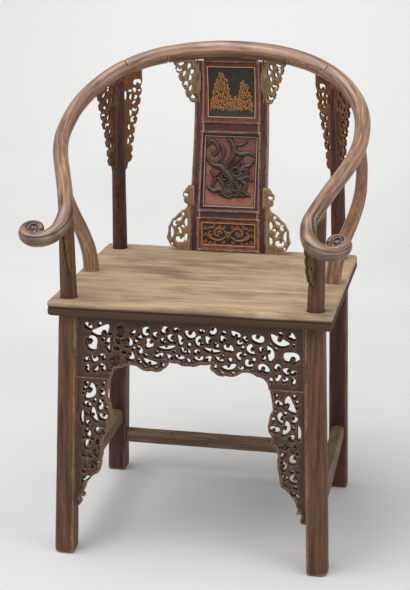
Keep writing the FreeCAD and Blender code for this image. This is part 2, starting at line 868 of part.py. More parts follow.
def front_apron():
    """The board under the seat's front edge, with a cusped lower edge and scrolling openings."""
    right = [(leg_side(seat_underside), seat_underside, 0), (leg_side(apron_foot), apron_foot, 0)]
    right += [(across * apron_span, seat_underside - down * apron_depth, bulge)
              for across, down, bulge in apron_edge_shares]
    border = outline(both_halves(right))
    column = apron_span * apron_grid_columns_share
    row = apron_depth * apron_grid_rows_share
    openings = []
    for across, down, length, width, turn in apron_opening_shares:
        x = across * column
        height = seat_underside - down * row
        openings.append(opening(x, height, length * row, width * row, turn))
        openings.append(opening(-x, height, length * row, -width * row, straight_turn - turn))
    for down, length, width in apron_middle_opening_shares:
        height = seat_underside - down * row
        openings.append(opening(0, height, length * row, width * row, -straight_turn / 2))
    board = upright(pierced_board(border, openings, apron_thickness))
    tongue = board_tongue_strip(apron_foot, seat_underside)
    return board.fuse([tongue, mirrored(tongue)]).removeSplitter()


def front_bracket():
    """The tall bracket under the apron beside the right leg, ending in a curled foot."""
    top = apron_foot
    foot = top - bracket_height
    border = [(leg_side(top), top, 0)]
    for across, down, bulge in bracket_edge_shares:
        height = top - down * bracket_height
        border.append((leg_side(height) - across * bracket_width, height, bulge))
    border.append((leg_side(foot), foot, 0))
    column = bracket_width * bracket_grid_columns_share
    row = bracket_height * bracket_grid_rows_share
    openings = []
    for across, down, length, width, turn in bracket_opening_shares:
        height = top - down * row
        x = leg_side(height) - across * column
        openings.append(opening(x, height, length * row, width * column, turn))
    board = upright(pierced_board(leafy_outline(border), openings, apron_thickness))
    return board.fuse(board_tongue_strip(foot, top)).removeSplitter()


# Spandrels and ears

def spandrel(corner, across, up, width, height, edge_shares, opening_shares, thickness):
    """A carved wing: a straight back edge down from `corner`, and a leafy edge that tapers to it."""
    back = -overrun / 4
    border = [(back, overrun, 0), (edge_shares[0][0] * width, overrun, 0)]
    border += [(x * width, -y * height, bulge) for x, y, bulge in edge_shares]
    border.append((back, -edge_shares[-1][1] * height, 0))
    openings = [opening(x * width, -y * height, length * height, wide * height, turn)
                for x, y, length, wide, turn in opening_shares]
    return placed(pierced_board(leafy_outline(border), openings, thickness), corner, across, up)


def rear_spandrel(post, rail_share):
    """A long wing between a rear post and the rail, toward a given place on the rail."""
    top, _ = along_rail(rear_post_share)
    reach, _ = along_rail(rail_share)
    up = unit(top - rear_post)
    toward = reach - top
    across = unit(toward - up * toward.dot(up))
    width = (reach - top).dot(across)
    corner = top - up * (rail_arm_diameter / 2)
    board = spandrel(corner, across, up, width, rear_spandrel_height,
                     rear_spandrel_edge_shares, rear_spandrel_opening_shares, spandrel_thickness)
    notch_low = -rear_spandrel_notch_drop - rear_spandrel_notch_height
    notch = Part.makeBox(rear_spandrel_notch_width, rear_spandrel_notch_height, 2 * spandrel_thickness,
                         vec(post_diameter_at_seat / 2, notch_low, -spandrel_thickness))
    board = board.cut(placed(notch, corner, across, up))
    shares = sorted([rear_post_share, rail_share])
    reach = spandrel_thickness / rail_length
    return largest(board.cut(scribe(shares[0] - reach, shares[1] + reach)).cut(post))


def splat_spandrel(stile):
    """A short pierced wing in the angle between the splat and the crest rail."""
    low = splat_top_height - splat_spandrel_height
    top = vec(splat_half_width(splat_top_height), splat_reach(splat_top_height), splat_top_height)
    foot = vec(splat_half_width(low), splat_reach(low), low)
    reach, _ = along_rail(splat_spandrel_share)
    up = unit(top - foot)
    toward = reach - top
    across = unit(toward - up * toward.dot(up))
    board = spandrel(top, across, up, toward.dot(across), splat_spandrel_height, splat_spandrel_edge_shares,
                     splat_spandrel_opening_shares, spandrel_thickness)
    return largest(board.cut(scribe(splat_head_share, splat_spandrel_share + splat_head_share)).cut(stile))


def front_spandrel(rail, post):
    """The wing on the front of a front post that carries the arm's terminal."""
    top, _ = along_rail(front_post_share)
    toward = on_scroll(*front_spandrel_aim_shares) - top
    across = unit(vec(toward.x, toward.y, 0))
    up = unit(top - front_post)
    corner = top - vec(0, 0, front_spandrel_drop)
    board = spandrel(corner, across, up, front_spandrel_width, front_spandrel_height,
                     front_spandrel_edge_shares, front_spandrel_opening_shares, spandrel_thickness)
    reach = 2 * front_spandrel_width / rail_length
    return largest(board.cut(scribe(front_post_share - reach, 1)).cut(rail).cut(post))


def splat_ear(stile):
    """The ear on the seat beside the splat: a leaf over a ring of small openings."""
    back = -overrun / 4
    border = [(back, ear_height, 0)]
    border += [(x * ear_width, y * ear_height, bulge) for x, y, bulge in ear_edge_shares]
    border.append((back, 0, 0))
    openings = [opening(x * ear_width, y * ear_height, length * ear_height, wide * ear_height, turn)
                for x, y, length, wide, turn in ear_opening_shares]
    board = pierced_board(leafy_outline(border), openings, ear_thickness)
    foot = vec(splat_half_width(seat_height), splat_reach(seat_height), seat_height)
    return largest(placed(board, foot, vec(1, 0, 0), vec(0, 0, 1)).cut(stile))


# Stretchers

def bar(start, end, depth, thickness, rounding):
    """A straight bar with eased edges, from one point to another."""
    along = end - start
    x = depth / 2
    y = thickness / 2
    if rounding:
        bulge = -(math.sqrt(2) - 1) / 2
        border = outline([
            (x - rounding, -y, bulge), (x, rounding - y, 0), (x, y - rounding, bulge), (x - rounding, y, 0),
            (rounding - x, y, bulge), (-x, y - rounding, 0), (-x, rounding - y, bulge),
            (rounding - x, -y, 0),
        ])
    else:
        border = outline([(-x, -y, 0), (x, -y, 0), (x, y, 0), (-x, y, 0)])
    solid = Part.Face(border).extrude(vec(0, 0, along.Length))
    return placed(solid, start, vec(0, 0, 1), unit(along).cross(vec(0, 0, 1)))


def stretcher(start, end, depth, thickness, legs):
    """A stretcher shouldered against two legs, and the tenon bar that runs to their middles."""
    tenon = bar(start, end, depth * stretcher_tenon_share, thickness * stretcher_tenon_share, 0)
    body = largest(bar(start, end, depth, thickness, stretcher_round).cut(legs[0]).cut(legs[1]))
    return body.fuse(tenon).removeSplitter(), tenon


def scarfed(rail, wedges):
    """Divide the rail at its scarfs into the back length and the right arm."""
    region = at_scarf(scarf_region())
    arm = largest(rail.common(region))
    back = largest(rail.cut(region).cut(mirrored(region)))
    return back.cut(wedges), arm.cut(wedges)


# The rail first, then the posts, whose tenons are cut out of the rail and the seat
disc = scroll()
rail = rail_body().fuse([disc, mirrored(disc)])
wedge = at_scarf(wedge_pin()).common(rail)
wedges = wedge.fuse(mirrored(wedge))
back_length, right_arm = scarfed(rail, wedges)

front_leg, front_tenon, front_through = leg(front_foot, front_post, front_post_share,
                                            front_post_top_diameter)
rear_leg, rear_tenon, rear_through = leg(rear_foot, rear_post, rear_post_share,
                                         rear_post_top_diameter)
arm_post, arm_tenon, arm_foot_tenon = side_post()
splat_head = scribe(-splat_spandrel_share, splat_spandrel_share)
stile, stile_tenon = splat_stile(splat_head)
parts["crest_rail_centre"] = back_length
add_pair("crest_rail_{}_arm", right_arm.cut([front_tenon, rear_tenon, arm_tenon]))
parts["crest_rail_wedge_pins"] = Part.makeCompound(wedges.Solids)
in_seat = [front_through, rear_through, arm_foot_tenon, stile_tenon]
parts["seat_board"] = seat().cut(in_seat + [mirrored(piece) for piece in in_seat])
add_pair("{}_side_post", arm_post)

# Splat rails and panels
high = splat_top_height - splat_top_rail_height
panel_room = high - seat_height - sum([splat_bottom_rail_height, splat_lower_rail_height,
                                       splat_upper_rail_height])
low = seat_height
bottom_rail = splat_rail(low, low + splat_bottom_rail_height)
low += splat_bottom_rail_height
bottom_panel = splat_panel(low, low + panel_room * splat_bottom_panel_share, 0, panel_border, panel_sinking)
low += panel_room * splat_bottom_panel_share
lower_rail = splat_rail(low, low + splat_lower_rail_height)
low += splat_lower_rail_height
middle_panel = splat_panel(low, low + panel_room * splat_middle_panel_share, middle_panel_set_back, 0, 0)
low += panel_room * splat_middle_panel_share
upper_rail = splat_rail(low, low + splat_upper_rail_height)
low += splat_upper_rail_height
top_panel = splat_panel(low, high, 0, panel_border, panel_sinking)
top_rail = largest(splat_rail(high, rail_back_height).cut(splat_head))

panels = {"bottom": bottom_panel, "middle": middle_panel, "top": top_panel}
rails = {"bottom": bottom_rail, "lower": lower_rail, "upper": upper_rail, "top": top_rail}
for name, piece in rails.items():
    parts["splat_" + name + "_rail"] = piece.cut(list(panels.values()))
for name, piece in panels.items():
    parts["splat_" + name + "_panel"] = piece
add_pair("splat_{}_stile", stile.cut(list(panels.values()) + list(rails.values())))

# Carved boards and wings
apron = front_apron()
bracket = front_bracket()
parts["front_apron"] = apron
add_pair("front_{}_bracket", bracket)
add_pair("rear_{}_inner_spandrel", rear_spandrel(rear_leg, rear_spandrel_inner_share))
add_pair("rear_{}_outer_spandrel", rear_spandrel(rear_leg, rear_spandrel_outer_share))
add_pair("splat_upper_{}_spandrel", splat_spandrel(stile))
add_pair("splat_lower_{}_ear", splat_ear(stile))
add_pair("front_{}_post_spandrel", front_spandrel(rail, front_leg))

# Stretchers, and the mortises that they and the boards need in the legs
rear_end = leg_centre(rear_foot, rear_post, rear_stretcher_height)
left_legs = [mirrored(rear_leg)]
rear_bar, rear_bar_tenon = stretcher(vec(-rear_end.x, rear_end.y, rear_end.z), rear_end,
                                     rear_stretcher_depth, rear_stretcher_thickness,
                                     [rear_leg] + left_legs)
side_bar, side_bar_tenon = stretcher(leg_centre(front_foot, front_post, side_stretcher_height),
                                     leg_centre(rear_foot, rear_post, side_stretcher_height),
                                     side_stretcher_depth, side_stretcher_thickness, [front_leg, rear_leg])
board_groove = board_tongue_strip(apron_foot - bracket_height, seat_underside)
parts["rear_stretcher"] = rear_bar
add_pair("{}_side_stretcher", side_bar)
add_pair("front_{}_leg", front_leg.cut([side_bar_tenon, board_groove]))
add_pair("rear_{}_leg", rear_leg.cut([side_bar_tenon, rear_bar_tenon]))

# Stand the chair with its origin on the floor, under the middle of its whole depth
extent = FreeCAD.BoundBox()
for piece in parts.values():
    extent.add(piece.BoundBox)
for name, piece in parts.items():
    piece = piece.removeSplitter()
    piece.translate(vec(0, -extent.Center.y, 0))
    piece.exportStep("parts/" + name + ".step")
    if not piece.isValid() or (len(piece.Solids) != 1 and name != "crest_rail_wedge_pins"):
        print("look at", name, piece.isValid(), len(piece.Solids))
print("pieces", len(parts))
print("size", round(extent.XLength, 1), round(extent.YLength, 1), round(extent.ZLength, 1))
print("shifted back by", round(-extent.Center.y, 2))
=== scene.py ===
"""Horseshoe back armchair in carved, lacquered and much worn wood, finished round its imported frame.

The frame gives every piece its size and place. This file makes their surfaces: the softened
arrises, the beads of the splat's frame, the carved relief of the boards and panels, and the wood.
The chair faces -Y, +X is to the right seen from the front, and lengths are metres.
"""
import math

import bmesh
import bpy
import numpy as np
from bpy.props import FloatProperty, FloatVectorProperty, PointerProperty
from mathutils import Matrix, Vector, noise
from mathutils.bvhtree import BVHTree
from mathutils.kdtree import KDTree


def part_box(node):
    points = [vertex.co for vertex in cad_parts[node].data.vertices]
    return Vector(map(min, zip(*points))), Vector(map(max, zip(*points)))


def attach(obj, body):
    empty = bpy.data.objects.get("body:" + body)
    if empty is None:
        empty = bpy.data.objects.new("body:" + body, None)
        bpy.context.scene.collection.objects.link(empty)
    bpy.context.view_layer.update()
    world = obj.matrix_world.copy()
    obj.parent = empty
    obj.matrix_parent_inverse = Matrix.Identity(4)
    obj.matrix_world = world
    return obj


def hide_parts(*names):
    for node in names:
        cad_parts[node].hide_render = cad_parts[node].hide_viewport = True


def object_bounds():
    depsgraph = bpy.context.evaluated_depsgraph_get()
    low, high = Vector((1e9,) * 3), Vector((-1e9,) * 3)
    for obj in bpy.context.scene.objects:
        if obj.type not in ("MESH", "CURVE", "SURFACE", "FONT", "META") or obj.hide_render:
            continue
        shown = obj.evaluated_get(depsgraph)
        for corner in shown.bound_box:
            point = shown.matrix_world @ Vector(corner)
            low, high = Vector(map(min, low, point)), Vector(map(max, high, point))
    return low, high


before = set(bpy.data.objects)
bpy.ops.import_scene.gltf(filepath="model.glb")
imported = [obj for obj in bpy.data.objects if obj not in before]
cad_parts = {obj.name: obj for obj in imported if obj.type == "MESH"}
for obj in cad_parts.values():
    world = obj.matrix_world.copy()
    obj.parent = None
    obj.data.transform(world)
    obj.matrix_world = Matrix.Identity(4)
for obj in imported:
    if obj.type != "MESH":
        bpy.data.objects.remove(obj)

bl_info = {
    "name": "Horseshoe back armchair",
    "version": (1, 0, 0),
    "blender": (4, 5, 0),
    "location": "View3D > Sidebar > Chair",
    "description": "Finishes the surfaces of a carved horseshoe back armchair",
    "category": "Mesh",
}

MM = 0.001
BODY = "root"
CAD_BOUNDS = [list(corner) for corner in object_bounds()]


def linear(hex_colour):
    """A colour from its sRGB hex value to linear light."""
    channels = [int(hex_colour[place:place + 2], 16) / 255 for place in (1, 3, 5)]
    return tuple(c / 12.92 if c <= 0.04045 else ((c + 0.055) / 1.055) ** 2.4 for c in channels)


def length(name, description, millimetres):
    return FloatProperty(name=name, description=description, default=millimetres * MM,
                         unit="LENGTH", subtype="DISTANCE")


def colour(name, description, hex_colour):
    return FloatVectorProperty(name=name, description=description, default=linear(hex_colour),
                               subtype="COLOR", size=3, min=0, max=1)


class ChairSizes(bpy.types.PropertyGroup):
    """Sizes of the chair's finish."""
    carving_pitch: length("Carving grid", "Spacing of the points on carved boards", 0.9)
    carving_depth: length("Carving depth", "How far the carved strands round over", 3.4)
    strand_shoulder: length("Strand shoulder", "Width over which a carved strand rounds over", 4.2)
    edge_bead: length("Edge bead", "Width of the smooth bead along the apron's lower edge", 6.5)
    panel_pitch: length("Panel grid", "Spacing of the points on the splat's panels", 0.7)
    splat_bead: length("Splat bead", "Width of the beads on the splat's frame", 5.2)
    scarf_gap: length("Scarf seam", "Width of the open seam at the rail's scarf joints", 0.2)


class ChairColours(bpy.types.PropertyGroup):
    """Middle colours of the chair's woods, lacquers and gilding."""
    rail: colour("Rail wood", "Worn tan-brown wood of the crest rail", "#82624A")
    side_post: colour("Side post wood", "Brown wood of the posts under the arms", "#84644A")
    seat: colour("Seat wood", "Dry grey-beige wood of the seat", "#A58E72")
    leg: colour("Leg wood", "Brown wood of the front legs", "#5A3E2B")
    rear_leg: colour("Rear leg wood", "Dark crimson-brown wood of the rear legs and posts", "#43261F")
    stretcher: colour("Stretcher wood", "Dusty brown wood of the stretchers", "#6E5A48")
    carved: colour("Carved wood", "Dark red-brown wood of the apron and brackets", "#3E281C")
    outer_spandrel: colour("Outer spandrel wood", "Brown wood of the outer spandrels", "#452C1C")
    inner_spandrel: colour("Inner spandrel wood", "Orange-brown wood of the inner spandrels", "#6E4526")
    ear: colour("Ear wood", "Faded gilt wood of the ears", "#7C6347")
    lacquer: colour("Frame lacquer", "Dark crimson lacquer of the splat's frame", "#4E2B26")
    gilt: colour("Gilding", "Worn gilding on the panels", "#A8702E")


# Shapes of meshes and their measures

def node_mesh(node):
    """A copy of a node's mesh in the row frame, with its seams joined."""
    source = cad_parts[node]
    mesh = source.data.copy()
    mesh.transform(source.matrix_world)
    work = bmesh.new()
    work.from_mesh(mesh)
    bmesh.ops.remove_doubles(work, verts=work.verts, dist=0.002 * MM)
    work.to_mesh(mesh)
    work.free()
    mesh.materials.clear()
    return mesh


def remade(mesh, voxel, passes):
    """The same solid in small even faces, with its arrises softened as by long use."""
    holder = bpy.data.objects.new("holder", mesh)
    bpy.context.collection.objects.link(holder)
    even = holder.modifiers.new("even", "REMESH")
    even.mode = "VOXEL"
    even.voxel_size = voxel
    if passes:
        soften = holder.modifiers.new("soften", "SMOOTH")
        soften.factor = 0.5
        soften.iterations = passes
    result = bpy.data.meshes.new_from_object(holder.evaluated_get(bpy.context.evaluated_depsgraph_get()))
    bpy.data.objects.remove(holder)
    return result


def points_of(mesh):
    points = np.empty(len(mesh.vertices) * 3)
    mesh.vertices.foreach_get("co", points)
    return points.reshape(-1, 3)


def set_points(mesh, points):
    mesh.vertices.foreach_set("co", np.ascontiguousarray(points, dtype=float).ravel())
    mesh.update()


def normals_of(mesh):
    normals = np.empty(len(mesh.vertices) * 3)
    mesh.vertex_normals.foreach_get("vector", normals)
    return normals.reshape(-1, 3)


def stands_out(mesh, passes):
    """How far each point stands out of its surroundings: above zero on arrises, below in hollows."""
    points = points_of(mesh)
    edges = np.empty(len(mesh.edges) * 2, dtype=int)
    mesh.edges.foreach_get("vertices", edges)
    edges = edges.reshape(-1, 2)
    ends = np.concatenate([edges[:, 0], edges[:, 1]])
    others = np.concatenate([edges[:, 1], edges[:, 0]])
    count = np.maximum(np.bincount(ends, minlength=len(points)), 1)
    eased = points.copy()
    for _ in range(passes):
        sums = [np.bincount(ends, weights=eased[others, axis], minlength=len(points)) for axis in range(3)]
        eased = 0.5 * eased + 0.5 * np.stack(sums, axis=1) / count[:, None]
    return ((points - eased) * normals_of(mesh)).sum(axis=1)


def store(mesh, name, values):
    """Keeps one number or one vector a point under a name that the materials read."""
    vector = values.ndim == 2
    attribute = mesh.attributes.new(name, "FLOAT_VECTOR" if vector else "FLOAT", "POINT")
    attribute.data.foreach_set("vector" if vector else "value", np.ascontiguousarray(values, dtype=float).ravel())


def field_noise(points, wavelength, seed):
    """Smooth unevenness from -1 to 1 at each point, its places settled by the seed."""
    shift = Vector((seed * 7.31, seed * 3.17, seed * 5.77))
    scale = 1 / wavelength
    return np.array([noise.noise(Vector(point) * scale + shift) for point in points])


def seed_of(name):
    return sum(ord(letter) * (place + 1) for place, letter in enumerate(name)) % 97


def waver(mesh, name, depth, wavelength):
    """Hand-worked unevenness of a surface."""
    points = points_of(mesh)
    set_points(mesh, points + normals_of(mesh) * (depth * field_noise(points, wavelength, seed_of(name)))[:, None])


def straight_grain(mesh, name, along):
    """Grain that runs along one direction, starting elsewhere in the tree for each piece."""
    along = np.array(Vector(along).normalized())
    helper = np.array((0, 0, 1)) if abs(along[2]) < 0.9 else np.array((0, 1, 0))
    across = np.cross(along, helper)
    across /= np.linalg.norm(across)
    rise = np.cross(across, along)
    points = points_of(mesh)
    grain = np.stack([points @ along, points @ across, points @ rise], axis=1)
    store(mesh, "grain", grain + seed_of(name) * 0.0731)


def course_grain(mesh, name, course):
    """Grain that follows a bent piece from end to end."""
    centres, aheads, acrosses, rises = course
    steps = np.linalg.norm(np.diff(centres, axis=0), axis=1)
    run = np.concatenate([[0], np.cumsum(steps)])
    points = points_of(mesh)
    tree = KDTree(len(centres))
    for index, centre in enumerate(centres):
        tree.insert(centre, index)
    tree.balance()
    nearest = np.array([tree.find(point)[1] for point in points])
    offset = points - centres[nearest]
    grain = np.stack([
        run[nearest] + (offset * aheads[nearest]).sum(axis=1),
        (offset * acrosses[nearest]).sum(axis=1),
        (offset * rises[nearest]).sum(axis=1),
    ], axis=1)
    store(mesh, "grain", grain + seed_of(name) * 0.0731)


def finish_piece(name, mesh, nodes, material, sharp=38, passes=6, wear_depth=0.35 * MM, hidden=0):
    """Puts a finished mesh in the scene in place of its nodes.

    Its last `hidden` points lie on a back that no hand rubs, which stays dark. Nothing stands outside
    the CAD model's own box.
    """
    set_points(mesh, np.clip(points_of(mesh), *CAD_BOUNDS))
    # Standing out marks worn arrises; sinking in marks hollows, which the materials darken as painted shade.
    wear = np.clip(stands_out(mesh, passes) / wear_depth, -1, 1)
    wear[len(wear) - hidden:] = -0.8
    store(mesh, "wear", wear)
    if "depth" not in mesh.attributes:
        store(mesh, "depth", np.zeros(len(mesh.vertices)))
    mesh.polygons.foreach_set("use_smooth", [True] * len(mesh.polygons))
    mesh.set_sharp_from_angle(angle=math.radians(sharp))
    mesh.materials.append(material)
    piece = bpy.data.objects.new(name, mesh)
    bpy.context.collection.objects.link(piece)
    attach(piece, BODY)
    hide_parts(*nodes)
    return piece


# Courses of the bent pieces

SEAT_FRONT_REACH = 230 * MM
SEAT_TOP = 500 * MM
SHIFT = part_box("seat_board")[0][1] + SEAT_FRONT_REACH

RAIL_HALF_WIDTH = 279 * MM
RAIL_BACK_REACH = 206 * MM
RAIL_DEPTH = 434 * MM
RAIL_HEIGHT = 910 * MM
RAIL_DROP = 242 * MM
RAIL_BACK_RADIUS = 17.5 * MM
RAIL_ARM_RADIUS = 14.5 * MM
RAIL_NECK_RADIUS = 13.75 * MM
RAIL_ARM_SHARE = 0.55
SCARF_SHARE = 0.25
SCARF_HALF_LENGTH = 42 * MM
RAIL_COURSE_SHARES = (
    (0.0, 0.0, 0.0),
    (0.215, 0.0104, 0.01),
    (0.423, 0.044, 0.038),
    (0.616, 0.091, 0.094),
    (0.781, 0.154, 0.181),
    (0.903, 0.24, 0.29),
    (0.975, 0.339, 0.402),
    (1.0, 0.456, 0.515),
    (0.987, 0.59, 0.633),
    (0.942, 0.695, 0.725),
    (0.867, 0.822, 0.835),
    (0.796, 0.947, 0.95),
    (0.769, 1.0, 1.0),
)

# The scroll that ends an arm: outward, forward and down from its neck, and its radius, in millimetres
SCROLL_COURSE = (
    (-1.5, 19, 14.5, 14.4),
    (2.5, 37, 27.5, 14.4),
    (14, 51, 37.5, 14),
    (31, 56.5, 43, 13.4),
    (48, 54.5, 43, 12.6),
    (60.5, 45.5, 38, 11.8),
    (62, 33, 30.5, 10.6),
    (52.5, 25, 26, 9.2),
    (39.5, 28.5, 27, 7.6),
    (36.5, 38, 31.5, 6.5),
)
SCROLL_EYE = (47.5, 40.5, 34)
SCROLL_WEB_RADIUS = 14 * MM
SCROLL_WEB_HALF = 6.5 * MM

SEAT_STAIN = (-25 * MM, 62 * MM)
SEAT_STAIN_REACH = (215 * MM, 110 * MM)

SIDE_POST_FOOT = (236 * MM, -4 * MM)
SIDE_POST_SHARE = 0.66
SIDE_POST_RISE = 98 * MM
SIDE_POST_SWELL = 25 * MM
SIDE_POST_FOOT_RADIUS = 15.5 * MM
SIDE_POST_HEAD_RADIUS = 10 * MM


def smooth_course(stops, spacing):
    """Even steps along the smooth curve through the stops, with its direction and cross axes."""
    stops = np.array(stops, dtype=float)
    knots = np.concatenate([[0], np.cumsum(np.linalg.norm(np.diff(stops, axis=0), axis=1))])
    size = len(knots)
    steps = np.diff(knots)
    matrix = np.eye(size)
    right = np.zeros((size, 3))
    for row in range(1, size - 1):
        matrix[row, row - 1:row + 2] = steps[row - 1], 2 * (steps[row - 1] + steps[row]), steps[row]
        right[row] = 6 * ((stops[row + 1] - stops[row]) / steps[row] - (stops[row] - stops[row - 1]) / steps[row - 1])
    bends = np.linalg.solve(matrix, right)
    places = np.linspace(0, knots[-1], max(int(knots[-1] / spacing), 2) + 1)
    span = np.clip(np.searchsorted(knots, places, side="right") - 1, 0, size - 2)
    before = (places - knots[span])[:, None]
    after = (knots[span + 1] - places)[:, None]
    step = steps[span][:, None]
    line = (bends[span] * after ** 3 + bends[span + 1] * before ** 3) / (6 * step)
    line += (stops[span] / step - bends[span] * step / 6) * after
    line += (stops[span + 1] / step - bends[span + 1] * step / 6) * before
    return line


def with_axes(centres, up=(0, 0, 1)):
    """A course with its direction and two cross axes at each step."""
    aheads = np.gradient(centres, axis=0)
    aheads /= np.linalg.norm(aheads, axis=1)[:, None]
    acrosses = np.cross(aheads, np.array(up))
    acrosses /= np.linalg.norm(acrosses, axis=1)[:, None]
    return centres, aheads, acrosses, np.cross(acrosses, aheads)


def rail_centres(spacing):
    """The whole rail from the left neck to the right neck."""
    half = [(x * RAIL_HALF_WIDTH, RAIL_BACK_REACH - y * RAIL_DEPTH + SHIFT, RAIL_HEIGHT - z * RAIL_DROP)
            for x, y, z in RAIL_COURSE_SHARES]
    left = [(-x, y, z) for x, y, z in reversed(half[1:])]
    return smooth_course(left + half, spacing)


def rail_radii(shares):
    shares = np.abs(shares)
    blend = 0.5 - 0.5 * np.cos(np.pi * np.minimum(shares / RAIL_ARM_SHARE, 1))
    back = RAIL_BACK_RADIUS + (RAIL_ARM_RADIUS - RAIL_BACK_RADIUS) * blend
    thin = np.clip((shares - RAIL_ARM_SHARE) / (1 - RAIL_ARM_SHARE), 0, 1)
    return back + (RAIL_NECK_RADIUS - RAIL_ARM_RADIUS) * thin


def tube(course, wide, high, sides=40):
    """Points and faces of a solid swept along a course, with flat ends."""
    centres, _, acrosses, rises = course
    turns = np.linspace(0, 2 * np.pi, sides, endpoint=False)
    rings = (centres[:, None] + acrosses[:, None] * (wide[:, None] * np.cos(turns))[..., None]
             + rises[:, None] * (high[:, None] * np.sin(turns))[..., None])
    count = len(centres)
    faces = []
    for ring in range(count - 1):
        for side in range(sides):
            after = (side + 1) % sides
            faces.append((ring * sides + side, ring * sides + after,
                          (ring + 1) * sides + after, (ring + 1) * sides + side))
    faces.append(tuple(reversed(range(sides))))
    faces.append(tuple(range((count - 1) * sides, count * sides)))
    return rings.reshape(-1, 3), faces


def mesh_from(name, points, faces):
    mesh = bpy.data.meshes.new(name)
    mesh.from_pydata(np.asarray(points).tolist(), [], [tuple(int(i) for i in face) for face in faces])
    mesh.update()
    work = bmesh.new()
    work.from_mesh(mesh)
    bmesh.ops.recalc_face_normals(work, faces=work.faces)
    work.to_mesh(mesh)
    work.free()
    return mesh


def joined(meshes):
    """Several solids in one mesh."""
    work = bmesh.new()
    for mesh in meshes:
        work.from_mesh(mesh)
    result = bpy.data.meshes.new("joined")
    work.to_mesh(result)
    work.free()
    return result


# Materials

def add(tree, kind, settings=None, links=None):
    """Adds a node, gives its properties and sockets their settings, and links its inputs."""
    node = tree.nodes.new(kind)
    for key, value in (settings or {}).items():
        if key == "stops":
            ramp = node.color_ramp
            while len(ramp.elements) < len(value):
                ramp.elements.new(0.5)
            for element, (place, tone) in zip(ramp.elements, value):
                element.position = place
                element.color = (*tone, 1)
        elif isinstance(key, str) and hasattr(node, key):
            setattr(node, key, value)
        else:
            node.inputs[key].default_value = value
    for key, source in (links or {}).items():
        tree.links.new(source, node.inputs[key])
    return node


def blend_colours(tree, factor, first, second, mode="MIX"):
    """Mixes two colours; each may be a colour or the output of a node."""
    settings = {"data_type": "RGBA", "blend_type": mode}
    links = {0: factor}
    for socket, value in ((6, first), (7, second)):
        if isinstance(value, tuple):
            settings[socket] = (*value, 1)
        else:
            links[socket] = value
    return add(tree, "ShaderNodeMix", settings, links).outputs[2]


def ramp(tree, source, low, high, top=1.0):
    """A smooth rise from nothing at `low` to `top` at `high`."""
    return add(tree, "ShaderNodeMapRange",
               {"interpolation_type": "SMOOTHSTEP", "From Min": low, "From Max": high, "To Max": top},
               {"Value": source}).outputs[0]


def calculate(tree, operation, first, second):
    settings, links = {"operation": operation}, {}
    for socket, value in ((0, first), (1, second)):
        if isinstance(value, (int, float)):
            settings[socket] = value
        else:
            links[socket] = value
    return add(tree, "ShaderNodeMath", settings, links).outputs[0]


def grain_noise(tree, grain, fibre_length, fibre_width, detail, roughness=0.55, distortion=0.0):
    """Noise drawn out along the grain, for marks of a real length and width."""
    scaled = add(tree, "ShaderNodeMapping", {"Scale": (1 / fibre_length, 1 / fibre_width, 1 / fibre_width)},
                 {"Vector": grain}).outputs[0]
    return add(tree, "ShaderNodeTexNoise",
               {"Scale": 1.0, "Detail": detail, "Roughness": roughness, "Distortion": distortion},
               {"Vector": scaled}).outputs["Fac"]


def shade(tone, share):
    """A darker or lighter tone of the same wood."""
    return tuple(min(c * share, 1.0) for c in tone)


